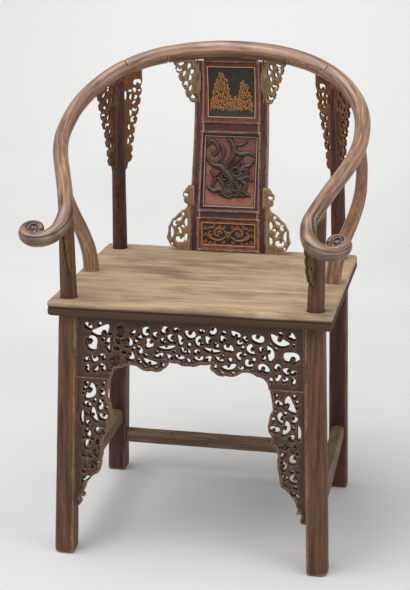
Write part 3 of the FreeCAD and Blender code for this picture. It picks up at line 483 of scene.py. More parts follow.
def wood(name, middle, worn, contrast=(0.4, 1.65), figure_width=7, patch_size=(80, 30), wear_start=0.3,
         rough=(0.5, 0.72), shine=0.3, patch_depth=0.5, crack_depth=0.3, grime_and_shade=None):
    """Hand-planed wood: streaks of figure, fine fibres, stained patches, worn arrises, and painted shade in its
    hollows.

    `contrast` gives its dark and light wood as shares of the middle tone. Marks are sized in
    millimetres along and across the grain.
    """
    material = bpy.data.materials.new(name)
    material.use_nodes = True
    tree = material.node_tree
    shader = tree.nodes["Principled BSDF"]
    middle = tuple(middle)
    dark, light = shade(middle, contrast[0]), shade(middle, contrast[1])
    # One dark tone serves as dirt in the cracks of the grain and as painted shade in hollows and recesses.
    grime_and_shade = grime_and_shade or shade(dark, 0.3)
    grain = add(tree, "ShaderNodeAttribute", {"attribute_name": "grain"}).outputs["Vector"]
    wear = add(tree, "ShaderNodeAttribute", {"attribute_name": "wear"}).outputs["Fac"]
    depth = add(tree, "ShaderNodeAttribute", {"attribute_name": "depth"}).outputs["Fac"]
    figure = grain_noise(tree, grain, 190 * MM, figure_width * MM, 3, distortion=0.5)
    fibre = grain_noise(tree, grain, 55 * MM, 1.5 * MM, 5, 0.68)
    patch = grain_noise(tree, grain, patch_size[0] * MM, patch_size[1] * MM, 5, 0.6)
    speck = grain_noise(tree, grain, 9 * MM, 3 * MM, 4, 0.65)
    streak = calculate(tree, "ADD", calculate(tree, "MULTIPLY", figure, 0.55), calculate(tree, "MULTIPLY", fibre, 0.45))
    body = add(tree, "ShaderNodeValToRGB",
               {"stops": ((0.35, dark), (0.5, middle), (0.65, light))}, {"Fac": streak}).outputs[0]
    body = blend_colours(tree, ramp(tree, patch, 0.47, 0.66, patch_depth), body, dark)
    body = blend_colours(tree, ramp(tree, fibre, 0.38, 0.26, crack_depth), body, grime_and_shade)
    rubbed = calculate(tree, "ADD", wear, calculate(tree, "MULTIPLY", calculate(tree, "SUBTRACT", speck, 0.5), 1.3))
    body = blend_colours(tree, ramp(tree, rubbed, wear_start, wear_start + 0.6, 0.75), body, worn)
    # Painted shade: hollows, where the surface sinks below its surroundings, go toward the dark tone, mottled by the
    # specks.
    hollow = ramp(tree, calculate(tree, "SUBTRACT", calculate(tree, "MULTIPLY", speck, 0.3), wear), 0.3, 0.8, 0.85)
    body = blend_colours(tree, hollow, body, grime_and_shade)
    # Painted shade where the mesh's depth mark rises: carved recesses, scroll grooves and the seat's sides. On the seat
    # the same mark also carries a real stain.
    body = blend_colours(tree, ramp(tree, depth, 0.28, 0.85, 0.92), body, grime_and_shade)
    tree.links.new(body, shader.inputs["Base Color"])
    gloss = add(tree, "ShaderNodeMapRange", {"To Min": rough[1], "To Max": rough[0]}, {"Value": speck}).outputs[0]
    tree.links.new(gloss, shader.inputs["Roughness"])
    shader.inputs["Specular IOR Level"].default_value = shine
    height = calculate(tree, "ADD", calculate(tree, "MULTIPLY", fibre, 0.7), calculate(tree, "MULTIPLY", speck, 0.5))
    bump = add(tree, "ShaderNodeBump", {"Strength": 0.45, "Distance": 0.4 * MM}, {"Height": height}).outputs[0]
    tree.links.new(bump, shader.inputs["Normal"])
    return material


def rail_wood(tone):
    """Hardwood rail, hand shaped and polished by hands: tan-brown, dark streaks, golden worn places."""
    return wood("hardwood_rail_hand_polished", tone, linear("#BFA17E"), (0.24, 2.1), 5,
                patch_size=(70, 11), wear_start=0.6, rough=(0.24, 0.48), shine=0.7, patch_depth=0.7)


def side_post_wood(tone):
    """The same hardwood on the side posts, a little darker where hands reach less."""
    return wood("hardwood_posts_hand_polished", tone, linear("#B89A78"), (0.28, 1.9), 5,
                patch_size=(60, 12), rough=(0.36, 0.58), shine=0.45, patch_depth=0.55)


def seat_wood(tone):
    """Bare softwood board, planed and scrubbed dry: grey-beige, open fibres, dark stains."""
    # Its dark brown grime-and-shade tone is mostly the painted shade on the board's sides; it also darkens cracks in
    # the grain.
    return wood("softwood_seat_planed_bare", tone, linear("#AD9779"), (0.55, 1.35), 9,
                patch_size=(120, 55), wear_start=0.6, rough=(0.72, 0.88), shine=0.2, patch_depth=0.75, crack_depth=0.6,
                grime_and_shade=linear("#3A281D"))


def leg_wood(tone):
    """Hardwood legs, planed: brown with yellowish rubbed places."""
    return wood("hardwood_legs_planed", tone, linear("#8F744E"), (0.42, 1.6), 6,
                patch_size=(120, 11), wear_start=0.4, rough=(0.48, 0.7), patch_depth=0.75, crack_depth=0.6)


def rear_leg_wood(tone):
    """Rear legs and posts with old lacquer left in the grain: dark crimson-brown."""
    return wood("hardwood_rear_legs_old_lacquer", tone, linear("#745240"), (0.4, 1.9), 6,
                patch_size=(120, 11), wear_start=0.35, rough=(0.42, 0.64), patch_depth=0.7, crack_depth=0.5)


def stretcher_wood(tone):
    """Stretchers, planed and dusty: greyish brown."""
    return wood("hardwood_stretchers_planed_dusty", tone, linear("#8E7A62"), (0.4, 1.7), 7,
                rough=(0.6, 0.82), shine=0.2)


def carved_wood(tone):
    """Apron and brackets, sawn and carved, old lacquer rubbed to wood on the crowns: dark red-brown."""
    return wood("hardwood_apron_carved", tone, linear("#7C5F4A"), (0.5, 1.6), 5, wear_start=0.3,
                rough=(0.4, 0.64), shine=0.4, patch_depth=0.35)


def spandrel_wood(name, tone):
    """Spandrels, sawn and carved into leaves: dark brown with orange-brown crowns."""
    return wood(name, tone, linear("#86603A"), (0.45, 1.6), 5, rough=(0.45, 0.68), patch_depth=0.3)


def ear_wood(tone):
    """Ears at the splat's foot, carved, their gilding faded: olive-tan."""
    return wood("hardwood_ears_carved_faded_gilding", tone, linear("#A68C66"), (0.35, 1.8), 5,
                rough=(0.45, 0.7), patch_depth=0.3)


def frame_lacquer(tone):
    """Splat frame in old lacquer rubbed through on its beads: dark crimson-brown, light worn beads."""
    return wood("lacquered_frame_rubbed", tone, linear("#A88C7C"), (0.45, 1.9), 5, wear_start=0.12,
                rough=(0.32, 0.56), shine=0.4)


def pin_wood():
    """Split wedge pins, hidden in the scarf joints."""
    return wood("hardwood_wedges_split", linear("#7A5A3F"), linear("#A98A66"))


def painted(name, ground, second_ground, band, rule, figure, figure_dark, metal=0.0):
    """Lacquer painting on carved wood: a ground, a border band with a fine rule, and a raised figure.

    The mesh says where each lies. Old paint is crazed and rubbed on its crowns; the crowns also carry painted highlight
    and the hollows painted shade.
    """
    material = bpy.data.materials.new(name)
    material.use_nodes = True
    tree = material.node_tree
    shader = tree.nodes["Principled BSDF"]
    place = add(tree, "ShaderNodeTexCoord").outputs["Object"]
    masks = {mark: add(tree, "ShaderNodeAttribute", {"attribute_name": mark}).outputs["Fac"]
             for mark in ("band", "rule", "figure", "wear", "low")}
    cloud = add(tree, "ShaderNodeTexNoise", {"Scale": 1 / (16 * MM), "Detail": 5.0, "Roughness": 0.6},
                {"Vector": place}).outputs["Fac"]
    fine = add(tree, "ShaderNodeTexNoise", {"Scale": 1 / (1.6 * MM), "Detail": 4.0, "Roughness": 0.7},
               {"Vector": place}).outputs["Fac"]
    body = blend_colours(tree, ramp(tree, calculate(tree, "ADD", cloud, masks["low"]), 0.45, 0.85), ground, second_ground)
    body = blend_colours(tree, ramp(tree, fine, 0.5, 0.7, 0.55), body, second_ground)
    border = blend_colours(tree, ramp(tree, cloud, 0.42, 0.62), band, tuple(c * 0.45 for c in band))
    body = blend_colours(tree, masks["band"], body, border)
    body = blend_colours(tree, ramp(tree, calculate(tree, "ADD", masks["rule"], calculate(tree, "MULTIPLY", fine, 0.5)), 0.6, 1.0),
                         body, rule)
    # The figure runs from its dark tone in hollows to its light tone on crowns: rubbed paint and gilding, and painted
    # highlight and shade.
    raised = blend_colours(tree, ramp(tree, calculate(tree, "ADD", masks["wear"], fine), 0.25, 0.85), figure_dark, figure)
    body = blend_colours(tree, masks["figure"], body, raised)
    # Painted shade: hollows of the carving go nearly black. The same colour gives the hidden backs their plain dark
    # lacquer.
    hollow = ramp(tree, calculate(tree, "MULTIPLY", masks["wear"], -1.0), 0.25, 0.9, 0.8)
    body = blend_colours(tree, hollow, body, linear("#120A08"))
    tree.links.new(body, shader.inputs["Base Color"])
    shader.inputs["Metallic"].default_value = metal
    gloss = add(tree, "ShaderNodeMapRange", {"To Min": 0.34, "To Max": 0.66}, {"Value": fine}).outputs[0]
    tree.links.new(gloss, shader.inputs["Roughness"])
    shader.inputs["Coat Weight"].default_value = 0.25
    shader.inputs["Coat Roughness"].default_value = 0.3
    bump = add(tree, "ShaderNodeBump", {"Strength": 0.4, "Distance": 0.3 * MM}, {"Height": fine}).outputs[0]
    tree.links.new(bump, shader.inputs["Normal"])
    return material


# Boards carved and pierced

def board_axes(node, towards):
    """Across, up and out of a flat board's larger face, the one that looks `towards`."""
    mesh = node_mesh(node)
    areas = {}
    for face in mesh.polygons:
        key = tuple(round(c, 2) for c in face.normal)
        total, normal = areas.get(key, (0, Vector()))
        areas[key] = (total + face.area, normal + face.normal * face.area)
    out = max(areas.values(), key=lambda entry: entry[0])[1].normalized()
    if out.dot(Vector(towards)) < 0:
        out = -out
    up = (Vector((0, 0, 1)) - out * out.z).normalized()
    return mesh, up.cross(out), up, out


def board_outline(mesh, across, up, out):
    """Closed loops round a board's face and its openings, and the depths of both faces."""
    work = bmesh.new()
    work.from_mesh(mesh)
    front = max(vertex.co.dot(out) for vertex in work.verts)
    back = min(vertex.co.dot(out) for vertex in work.verts)
    near = 0.6 * MM
    face_set = {face for face in work.faces if face.normal.dot(out) > 0.9 and front - face.calc_center_median().dot(out) < near}
    rims = {}
    for face in face_set:
        for loop in face.loops:
            edge = loop.edge
            if sum(other in face_set for other in edge.link_faces) == 1:
                start = loop.vert
                rims.setdefault(start.index, []).append(edge.other_vert(start).index)
    places = {vertex.index: (vertex.co.dot(across), vertex.co.dot(up)) for vertex in work.verts}
    work.free()
    loops = []
    while rims:
        start = next(iter(rims))
        here, course = start, []
        while here in rims:
            course.append(places[here])
            after = rims[here].pop()
            if not rims[here]:
                del rims[here]
            here = after
        loops.append(np.array(course))
    loops.sort(key=lambda loop: -np.ptp(loop[:, 0]) * np.ptp(loop[:, 1]))
    return loops, front, back


def eased(loop, reach, rounds):
    """A loop with its corners cut off again and again, so that openings read as carved curves."""
    for _ in range(rounds):
        after = np.roll(loop, -1, axis=0)
        span = np.linalg.norm(after - loop, axis=1)[:, None]
        cut = np.minimum(0.27, reach / np.maximum(span, 1e-9))
        loop = np.stack([loop + (after - loop) * cut, after - (after - loop) * cut], axis=1).reshape(-1, 2)
    return loop


def rim_samples(loop, spacing, longest):
    """Points along a loop, with how far along each lies, and whether it is on an edge left free."""
    after = np.roll(loop, -1, axis=0)
    samples, run = [], 0.0
    for start, end in zip(loop, after):
        span = float(np.linalg.norm(end - start))
        free = span < longest
        for step in range(max(int(span / spacing), 1)):
            share = step * spacing / max(span, 1e-9)
            samples.append((*(start + (end - start) * min(share, 1)), run + step * spacing, free))
        run += span
    return samples


def nearest_on(samples, points):
    """Distance to the nearest sample and its number, for each point."""
    tree = KDTree(len(samples))
    for index, sample in enumerate(samples):
        tree.insert((sample[0], sample[1], 0), index)
    tree.balance()
    found = [tree.find((point[0], point[1], 0))[1:] for point in points]
    return np.array([distance for _, distance in found]), np.array([index for index, _ in found])


def even_odd(loops, columns, rows):
    """Which grid points lie inside the outline and outside its openings."""
    edges = np.concatenate([np.stack([loop, np.roll(loop, -1, axis=0)], axis=1) for loop in loops])
    inside = np.zeros((len(rows), len(columns)), dtype=bool)
    for place, row in enumerate(rows):
        crossing = (edges[:, 0, 1] > row) != (edges[:, 1, 1] > row)
        start, end = edges[crossing, 0], edges[crossing, 1]
        cuts = np.sort(start[:, 0] + (row - start[:, 1]) * (end[:, 0] - start[:, 0]) / (end[:, 1] - start[:, 1]))
        inside[place] = np.searchsorted(cuts, columns) % 2 == 1
    return inside


def dense(loop, spacing):
    """A loop in short even steps."""
    closed = np.vstack([loop, loop[:1]])
    run = np.concatenate([[0], np.cumsum(np.linalg.norm(np.diff(closed, axis=0), axis=1))])
    places = np.linspace(0, run[-1], max(int(run[-1] / spacing), 8), endpoint=False)
    return np.column_stack([np.interp(places, run, closed[:, axis]) for axis in (0, 1)])


def roomiest(loop):
    """The point of an opening that lies farthest from its rim, and how far that is."""
    low, high = loop.min(axis=0), loop.max(axis=0)
    columns, rows = (np.arange(low[axis], high[axis], 0.9 * MM) for axis in (0, 1))
    grid = np.stack(np.meshgrid(columns, rows), axis=-1)[even_odd([loop], columns, rows)]
    distance = np.linalg.norm(grid[:, None] - loop[None], axis=-1).min(axis=1)
    return grid[np.argmax(distance)], distance.max()


def arc(middle, radius, first, sweep, steps):
    angles = first + sweep * np.linspace(0, 1, steps)
    return middle + radius * np.column_stack([np.cos(angles), np.sin(angles)])


def with_curl(loop, least):
    """An opening with the curled end of a leaf let into it, which leaves it a crescent."""
    loop = dense(loop, 0.35 * MM)
    centre, room = roomiest(loop)
    if room < least:
        return loop, None
    rim = loop[np.argmin(np.linalg.norm(loop - centre, axis=1))]
    towards = (rim - centre) / room
    middle, radius = centre + towards * room * 0.56, room * 0.52
    within = (np.linalg.norm(loop - middle, axis=1) < radius).astype(int)
    starts = np.flatnonzero((within - np.roll(within, 1)) == 1)
    if len(starts) != 1:
        return loop, None
    rest = np.roll(loop, -starts[0], axis=0)[within.sum():]
    first, last, far = (math.atan2(spot[1], spot[0]) for spot in (rest[-1] - middle, rest[0] - middle, -towards))
    sweep = (last - first) % (2 * math.pi)
    if (far - first) % (2 * math.pi) > sweep:
        sweep -= 2 * math.pi
    return np.vstack([rest, arc(middle, radius, first, sweep, 40)[1:-1]]), (middle, radius)


def pierced(centre, room, turn):
    """An uneven rounded opening in a broad place, the kind that is left between curling stems."""
    angles = np.linspace(0, 2 * np.pi, 40, endpoint=False)
    lobed = 1 + 0.3 * np.cos(angles - turn) + 0.22 * np.cos(2 * angles + 1.7 * turn) + 0.1 * np.cos(3 * angles - 2.3 * turn)
    reach = (room - 1.3 * MM) / 1.45 * lobed
    return centre + reach[:, None] * np.column_stack([np.cos(angles), np.sin(angles)])


def broad_places(loops, plain, least):
    """Places on a board far from every rim, where a carver would pierce it, and how far."""
    low, high = loops[0].min(axis=0), loops[0].max(axis=0)
    columns, rows = (np.arange(low[axis], high[axis], 1.5 * MM) for axis in (0, 1))
    grid = np.stack(np.meshgrid(columns, rows), axis=-1)[even_odd(loops, columns, rows)]
    rims = [(*spot, 0) for loop in loops for spot in dense(loop, 0.8 * MM)]
    room, _ = nearest_on(rims, grid)
    beside, _ = nearest_on(plain, grid)
    taken = []
    for index in np.argsort(-room):
        spot, width = grid[index], room[index]
        if width < least:
            break
        if beside[index] > width + 9 * MM and all(np.linalg.norm(spot - other) > width + reach for other, reach in taken):
            taken.append((spot, width))
    return taken


def carve_board(name, node, towards, material, grain, bead=0.0, both_sides=False, leafy=0.0, pierce=4.2 * MM):
    """Carves a pierced board from its node's outline: rounded strands, veins, curls and a bead."""
    sizes = bpy.context.scene.chair_sizes
    pitch, depth, shoulder = sizes.carving_pitch, sizes.carving_depth, sizes.strand_shoulder
    mesh, across, up, out = board_axes(node, towards)
    loops, front, back = board_outline(mesh, across, up, out)
    outer = rim_samples(loops[0], 0.3 * MM, 22 * MM)
    plain = [sample for sample in outer if not sample[3]]
    openings = [eased(loop, 4 * MM, 3) for loop in loops[1:]]
    openings += [pierced(spot, room, 1.9 * turn) for turn, (spot, room) in enumerate(broad_places(loops, plain, pierce))]
    curled = [with_curl(loop, 3.2 * MM) for loop in openings]
    rounded = [loops[0]] + [loop for loop, _ in curled]
    lobes = [lobe for _, lobe in curled if lobe]
    holes = [sample for loop in rounded[1:] for sample in rim_samples(loop, 0.3 * MM, 1)]
    low = loops[0].min(axis=0) - pitch
    high = loops[0].max(axis=0) + pitch
    columns = np.arange(low[0], high[0] + pitch, pitch)
    rows = np.arange(low[1], high[1] + pitch, pitch)
    inside = even_odd(rounded, columns, rows)
    near = inside.copy()
    near[1:] |= inside[:-1]
    near[:-1] |= inside[1:]
    near[:, 1:] |= near[:, :-1].copy()
    near[:, :-1] |= near[:, 1:].copy()
    grid = np.stack(np.meshgrid(columns, rows), axis=-1)
    places = grid[near]
    samples = outer + holes
    positions = np.array([sample[:2] for sample in samples])
    distance, index = nearest_on(samples, places)
    snapped = distance < 0.55 * pitch
    places[snapped] = positions[index[snapped]]
    kept = snapped | inside[near]
    number = -np.ones(near.shape, dtype=int)
    flat = np.flatnonzero(near.ravel())
    number.ravel()[flat[kept]] = np.arange(kept.sum())
    strict = np.zeros(near.shape, dtype=bool)
    strict.ravel()[flat] = inside[near] & ~snapped
    places = places[kept]
    middle = even_odd(rounded, columns[:-1] + pitch / 2, rows[:-1] + pitch / 2)
    corners = np.stack([number[:-1, :-1], number[:-1, 1:], number[1:, 1:], number[1:, :-1]], axis=-1)
    solid = (np.stack([strict[:-1, :-1], strict[:-1, 1:], strict[1:, 1:], strict[1:, :-1]], axis=-1).any(axis=-1) | middle)
    count = (corners >= 0).sum(axis=-1)
    faces = [tuple(cell) for cell in corners[(count == 4) & solid]]
    faces += [tuple(corner for corner in cell if corner >= 0) for cell in corners[(count == 3) & solid]]
    used = sorted({corner for face in faces for corner in face})
    renumber = {old: new for new, old in enumerate(used)}
    faces = [tuple(renumber[corner] for corner in face) for face in faces]
    places = places[used]

    free = [sample for sample in outer if sample[3]]
    rim_distance, rim_index = nearest_on(free, places)
    hole_distance, hole_index = nearest_on(holes, places)
    nearest = np.minimum(rim_distance, hole_distance)
    run = np.where(rim_distance < hole_distance, np.array([s[2] for s in free])[rim_index],
                   np.array([s[2] for s in holes])[hole_index])
    relief = strand_relief(places, nearest, run, depth, shoulder, leafy, seed_of(name))
    relief = add_scrolls(places, relief, lobes)
    if bead:
        radius = bead / 2
        crown = np.sqrt(np.clip(1 - ((rim_distance - radius) / radius) ** 2, 0, 1))
        on_bead = rim_distance < bead
        groove = np.exp(-((rim_distance - bead) / (0.7 * MM)) ** 2)
        relief = np.where(on_bead, -1.9 * MM * (1 - crown), relief - 1.2 * MM) - 0.9 * MM * groove
    thickness = front - back
    relief = np.maximum(relief, -0.42 * thickness)
    rear = np.where(nearest < 1.2 * MM, (1.2 * MM - nearest) * 0.6, 0) if not both_sides else -relief
    axes = np.array([across, up, out])
    front_points = np.column_stack([places, front + relief - 0.1 * MM]) @ axes
    back_points = np.column_stack([places, back + rear + 0.1 * MM]) @ axes
    total = len(places)
    edges = {}
    for face in faces:
        for start, end in zip(face, face[1:] + face[:1]):
            edges[(start, end)] = edges.get((start, end), 0) + 1
    walls = [(end, start, start + total, end + total) for start, end in edges if (end, start) not in edges]
    rear_faces = [tuple(corner + total for corner in reversed(face)) for face in faces]
    body = mesh_from(name, np.vstack([front_points, back_points]), faces + rear_faces + walls)
    # Painted shade: carved recesses are darkened the deeper they are sunk, on both faces of a board carved on both
    # sides.
    recess_shade = np.clip(-relief / (depth + 1.2 * MM), 0, 1)
    store(body, "depth", np.concatenate([recess_shade, recess_shade if both_sides else np.zeros(total)]))
    straight_grain(body, name, grain)
    return finish_piece(name, body, [node], material, sharp=55, passes=4, wear_depth=0.25 * MM)


def strand_relief(places, nearest, run, depth, shoulder, leafy, seed):
    """Rounded strands with a vein cut beside each edge, and leaf nicks along some of them."""
    over = np.clip(1 - nearest / shoulder, 0, 1)
    relief = -depth * (1 - np.sqrt(1 - over ** 2))
    relief -= 1.1 * MM * np.exp(-((nearest - 0.72 * shoulder) / (0.5 * MM)) ** 2)
    spatial = np.column_stack([places, np.full(len(places), seed * 0.37)])
    where = field_noise(spatial, 24 * MM, seed)
    nick = np.abs(np.sin(np.pi * run / (3.6 * MM))) ** 6
    reach = np.clip(1.3 - nearest / shoulder, 0, 1)
    relief -= (0.5 + leafy) * MM * nick * reach * np.clip(where * 3 + 0.3 + leafy, 0, 1)
    relief += 0.35 * MM * field_noise(spatial, 9 * MM, seed + 3)
    return relief


def add_scrolls(places, relief, lobes):
    """A volute cut on the curled end of each leaf."""
    for turn, (centre, room) in enumerate(lobes):
        offset = places - centre
        radius = np.hypot(offset[:, 0], offset[:, 1])
        reach = room * 1.5 + 1.5 * MM
        touched = radius < reach
        angle = np.arctan2(offset[touched, 1], offset[touched, 0]) * (1 if turn % 2 else -1)
        phase = radius[touched] / (room + 1.6 * MM) + angle / (2 * np.pi) + turn * 0.31
        groove = np.exp(-((phase % 1 - 0.5) / 0.18) ** 2)
        fade = np.clip((reach - radius[touched]) / (2 * MM), 0, 1)
        relief[touched] -= 2.2 * MM * groove * fade
    return relief


# The splat's frame and panels

SPLAT_TOP = RAIL_HEIGHT - RAIL_BACK_RADIUS
SPLAT_TOP_WIDTH = 146 * MM
SPLAT_FOOT_WIDTH = 162 * MM
STILE_WIDTH = 19 * MM
SPLAT_THICKNESS = 20 * MM
JOINT_GAP = 0.12 * MM
PANEL_SET_BACK = 5.5 * MM
MIDDLE_SET_BACK = 8.5 * MM


def splat_half_width(height):
    share = (height - SEAT_TOP) / (SPLAT_TOP - SEAT_TOP)
    return (SPLAT_FOOT_WIDTH + (SPLAT_TOP_WIDTH - SPLAT_FOOT_WIDTH) * share) / 2


def face_depths(node):
    """Heights up a stile and the depth of its front and back at each, read from its solid."""
    mesh = node_mesh(node)
    work = bmesh.new()
    work.from_mesh(mesh)
    tree = BVHTree.FromBMesh(work)
    work.free()
    low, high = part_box(node)
    heights = np.arange(SEAT_TOP + 1 * MM, high[2] - 12 * MM, 4 * MM)
    side = 1 if high[0] > 0 else -1
    fronts, backs = [], []
    for height in heights:
        x = side * (splat_half_width(height) - STILE_WIDTH / 2)
        fronts.append(tree.ray_cast((x, low[1] - 1, height), (0, 1, 0))[0].y)
        backs.append(tree.ray_cast((x, high[1] + 1, height), (0, -1, 0))[0].y)
    return heights, np.array(fronts), np.array(backs)


def fitted(heights, depths):
    """A smooth curve through a stile's depths, carried on past its ends."""
    return np.polynomial.Polynomial.fit(heights, depths, 5)


def panel_openings():
    """Lowest and highest edge of the three openings in the splat's frame."""
    rails = [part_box(f"splat_{place}_rail") for place in ("bottom", "lower", "upper", "top")]
    return [(rails[index][1][2], rails[index + 1][0][2]) for index in range(3)]


def opening_distance(x, z):
    """How far outside the nearest opening a point of the frame lies, square at the corners."""
    beside = np.abs(x) - (splat_half_width(z) - STILE_WIDTH)
    nearest = np.full(x.shape, 1.0)
    mitre = np.full(x.shape, 1.0)
    for low, high in panel_openings():
        beyond = np.maximum(low - z, z - high)
        nearest = np.minimum(nearest, np.maximum(beside, beyond))
        corner = (beside > 0) & (beyond > 0) & (np.maximum(beside, beyond) < 9 * MM)
        mitre = np.where(corner, np.minimum(mitre, np.abs(beside - beyond)), mitre)
    return nearest, mitre


def relief_slab(name, x, z, front, back):
    """A closed slab: its front is a grid of points, its back is one strip between the side edges."""
    rows, columns = x.shape
    points = np.stack([x, front, z], axis=-1).reshape(-1, 3)
    ends = [0, columns - 1]
    rear = np.stack([x[:, ends], back[:, ends], z[:, ends]], axis=-1).reshape(-1, 3)
    total = rows * columns
    number = np.arange(total).reshape(rows, columns)
    faces = np.stack([number[:-1, :-1], number[:-1, 1:], number[1:, 1:], number[1:, :-1]], axis=-1).reshape(-1, 4).tolist()
    for row in range(rows - 1):
        left, right = total + 2 * row, total + 2 * row + 1
        faces.append((left, left + 2, right + 2, right))
        faces.append((number[row, 0], number[row + 1, 0], left + 2, left))
        faces.append((number[row + 1, -1], number[row, -1], right, right + 2))
    for row in (0, rows - 1):
        faces.append((*number[row], total + 2 * row + 1, total + 2 * row))
    return mesh_from(name, np.vstack([points, rear]), faces)


def bead_height(distance, width, rise):
    """A half-round bead of a width, standing on a face, its middle half its width plus a quirk in."""
    radius = width / 2
    middle = radius + 0.7 * MM
    return rise * (np.sqrt(np.clip(1 - ((distance - middle) / radius) ** 2, 0, 1)) - 1)


def frame_member(name, node, x, z, face, back, side=None):
    """One stile or rail of the splat's frame with its beads and quirks."""
    bead = bpy.context.scene.chair_sizes.splat_bead
    distance, mitre = opening_distance(x, z)
    inner = bead_height(distance, bead, 2.2 * MM)
    outer_distance = splat_half_width(z) - np.abs(x) if side else np.full(x.shape, 1.0)
    outer = bead_height(outer_distance, bead, 2.2 * MM)
    relief = np.maximum(np.maximum(inner, outer), -1.7 * MM)
    relief -= 0.5 * MM * np.exp(-(mitre / (0.45 * MM)) ** 2)
    relief += 0.12 * MM * field_noise(np.stack([x.ravel(), z.ravel(), 0 * x.ravel()], axis=1), 14 * MM,
                                      seed_of(name)).reshape(x.shape)
    mesh = relief_slab(name, x, z, face(z) - relief, back(z))
    straight_grain(mesh, name, (0, 0, 1) if side else (1, 0, 0))
    return finish_piece(name, mesh, [node], bpy.data.materials["lacquered_frame_rubbed"],
                        sharp=50, passes=5, wear_depth=0.3 * MM, hidden=2 * len(z))


def stroke_field(a, b, strokes):
    """Heights of tapered half-round strokes, the way along each, and the stroke's side at each point."""
    height = np.zeros(a.shape)
    along = np.zeros(a.shape)
    beside = np.zeros(a.shape)
    for stroke in strokes:
        run = 0.0
        for (x0, y0, w0, h0), (x1, y1, w1, h1) in zip(stroke, stroke[1:]):
            dx, dy = x1 - x0, y1 - y0
            span = math.hypot(dx, dy)
            share = np.clip(((a - x0) * dx + (b - y0) * dy) / span ** 2, 0, 1)
            off_x, off_y = a - x0 - share * dx, b - y0 - share * dy
            distance = np.hypot(off_x, off_y)
            width = w0 + (w1 - w0) * share
            dome = (h0 + (h1 - h0) * share) * np.sqrt(np.clip(1 - (distance / width) ** 2, 0, 1))
            better = dome > height
            height[better] = dome[better]
            along[better] = (run + share * span)[better]
            beside[better] = (np.sign(off_x * dy - off_y * dx) * distance / width)[better]
            run += span
    return height, along, beside


def bowed(points, widths, heights, steps=10):
    """A stroke along a smooth curve through points, all in millimetres."""
    flat = smooth_course([(x, y, 0) for x, y in points], 2.0)
    share = np.linspace(0, 1, len(flat))
    wide = np.interp(share, np.linspace(0, 1, len(widths)), widths)
    tall = np.interp(share, np.linspace(0, 1, len(heights)), heights)
    return [(x, y, w, h) for (x, y, _), w, h in zip(flat, wide, tall)]


def curl(x, y, radius, start, turns, width, height):
    """A stroke that winds inward, in millimetres and degrees."""
    stroke = []
    steps = max(int(abs(turns) * 14), 3)
    for step in range(steps + 1):
        share = step / steps
        angle = math.radians(start + 360 * turns * share)
        reach = radius * (1 - 0.82 * share)
        stroke.append((x + reach * math.cos(angle), y + reach * math.sin(angle), width * (1 - 0.45 * share), height))
    return stroke


def stone_heap(seed, peak, top, left, right, foot, rise):
    """Rounded stones heaped up to a peak, row by row, with ragged gaps between them, in millimetres."""
    spread = np.random.default_rng(seed)
    strokes = []
    for y in np.arange(top, foot, 4.6):
        reach = ((y - top + 2) / (foot - top + 2)) ** 0.62
        first, last = peak + (left - peak) * reach, peak + (right - peak) * reach
        for x in np.arange(first, last + 0.5, 4.8):
            shift, drop, size, height = spread.uniform((-1.4, -1.6, 2.0, 0.6), (1.4, 1.6, 3.2, 1.0))
            if size > 2.15:
                strokes.append([(x + shift, y + drop, size, rise * height),
                                (x - shift, y + drop + 3.4, size * 0.8, rise * height * 0.8)])
    return strokes


def top_panel_strokes(w, h):
    """Two heaps of rock that run together at their feet, the left one taller."""
    strokes = stone_heap(3, 0.28 * w, 0.13 * h, 0.03 * w, 0.56 * w, 0.86 * h, 3.6)
    strokes += stone_heap(5, 0.76 * w, 0.27 * h, 0.62 * w, 0.98 * w, 0.84 * h, 3.4)
    strokes += stone_heap(7, 0.6 * w, 0.6 * h, 0.46 * w, 0.74 * w, 0.84 * h, 2.8)
    for x, y, r in ((0.1, 0.84, 4.5), (0.3, 0.86, 5.0), (0.48, 0.8, 4.5), (0.7, 0.86, 4.5), (0.9, 0.6, 4.0)):
        strokes.append(curl(x * w, y * h, r, 200, 0.9, 2.4, 4.0))
    return strokes


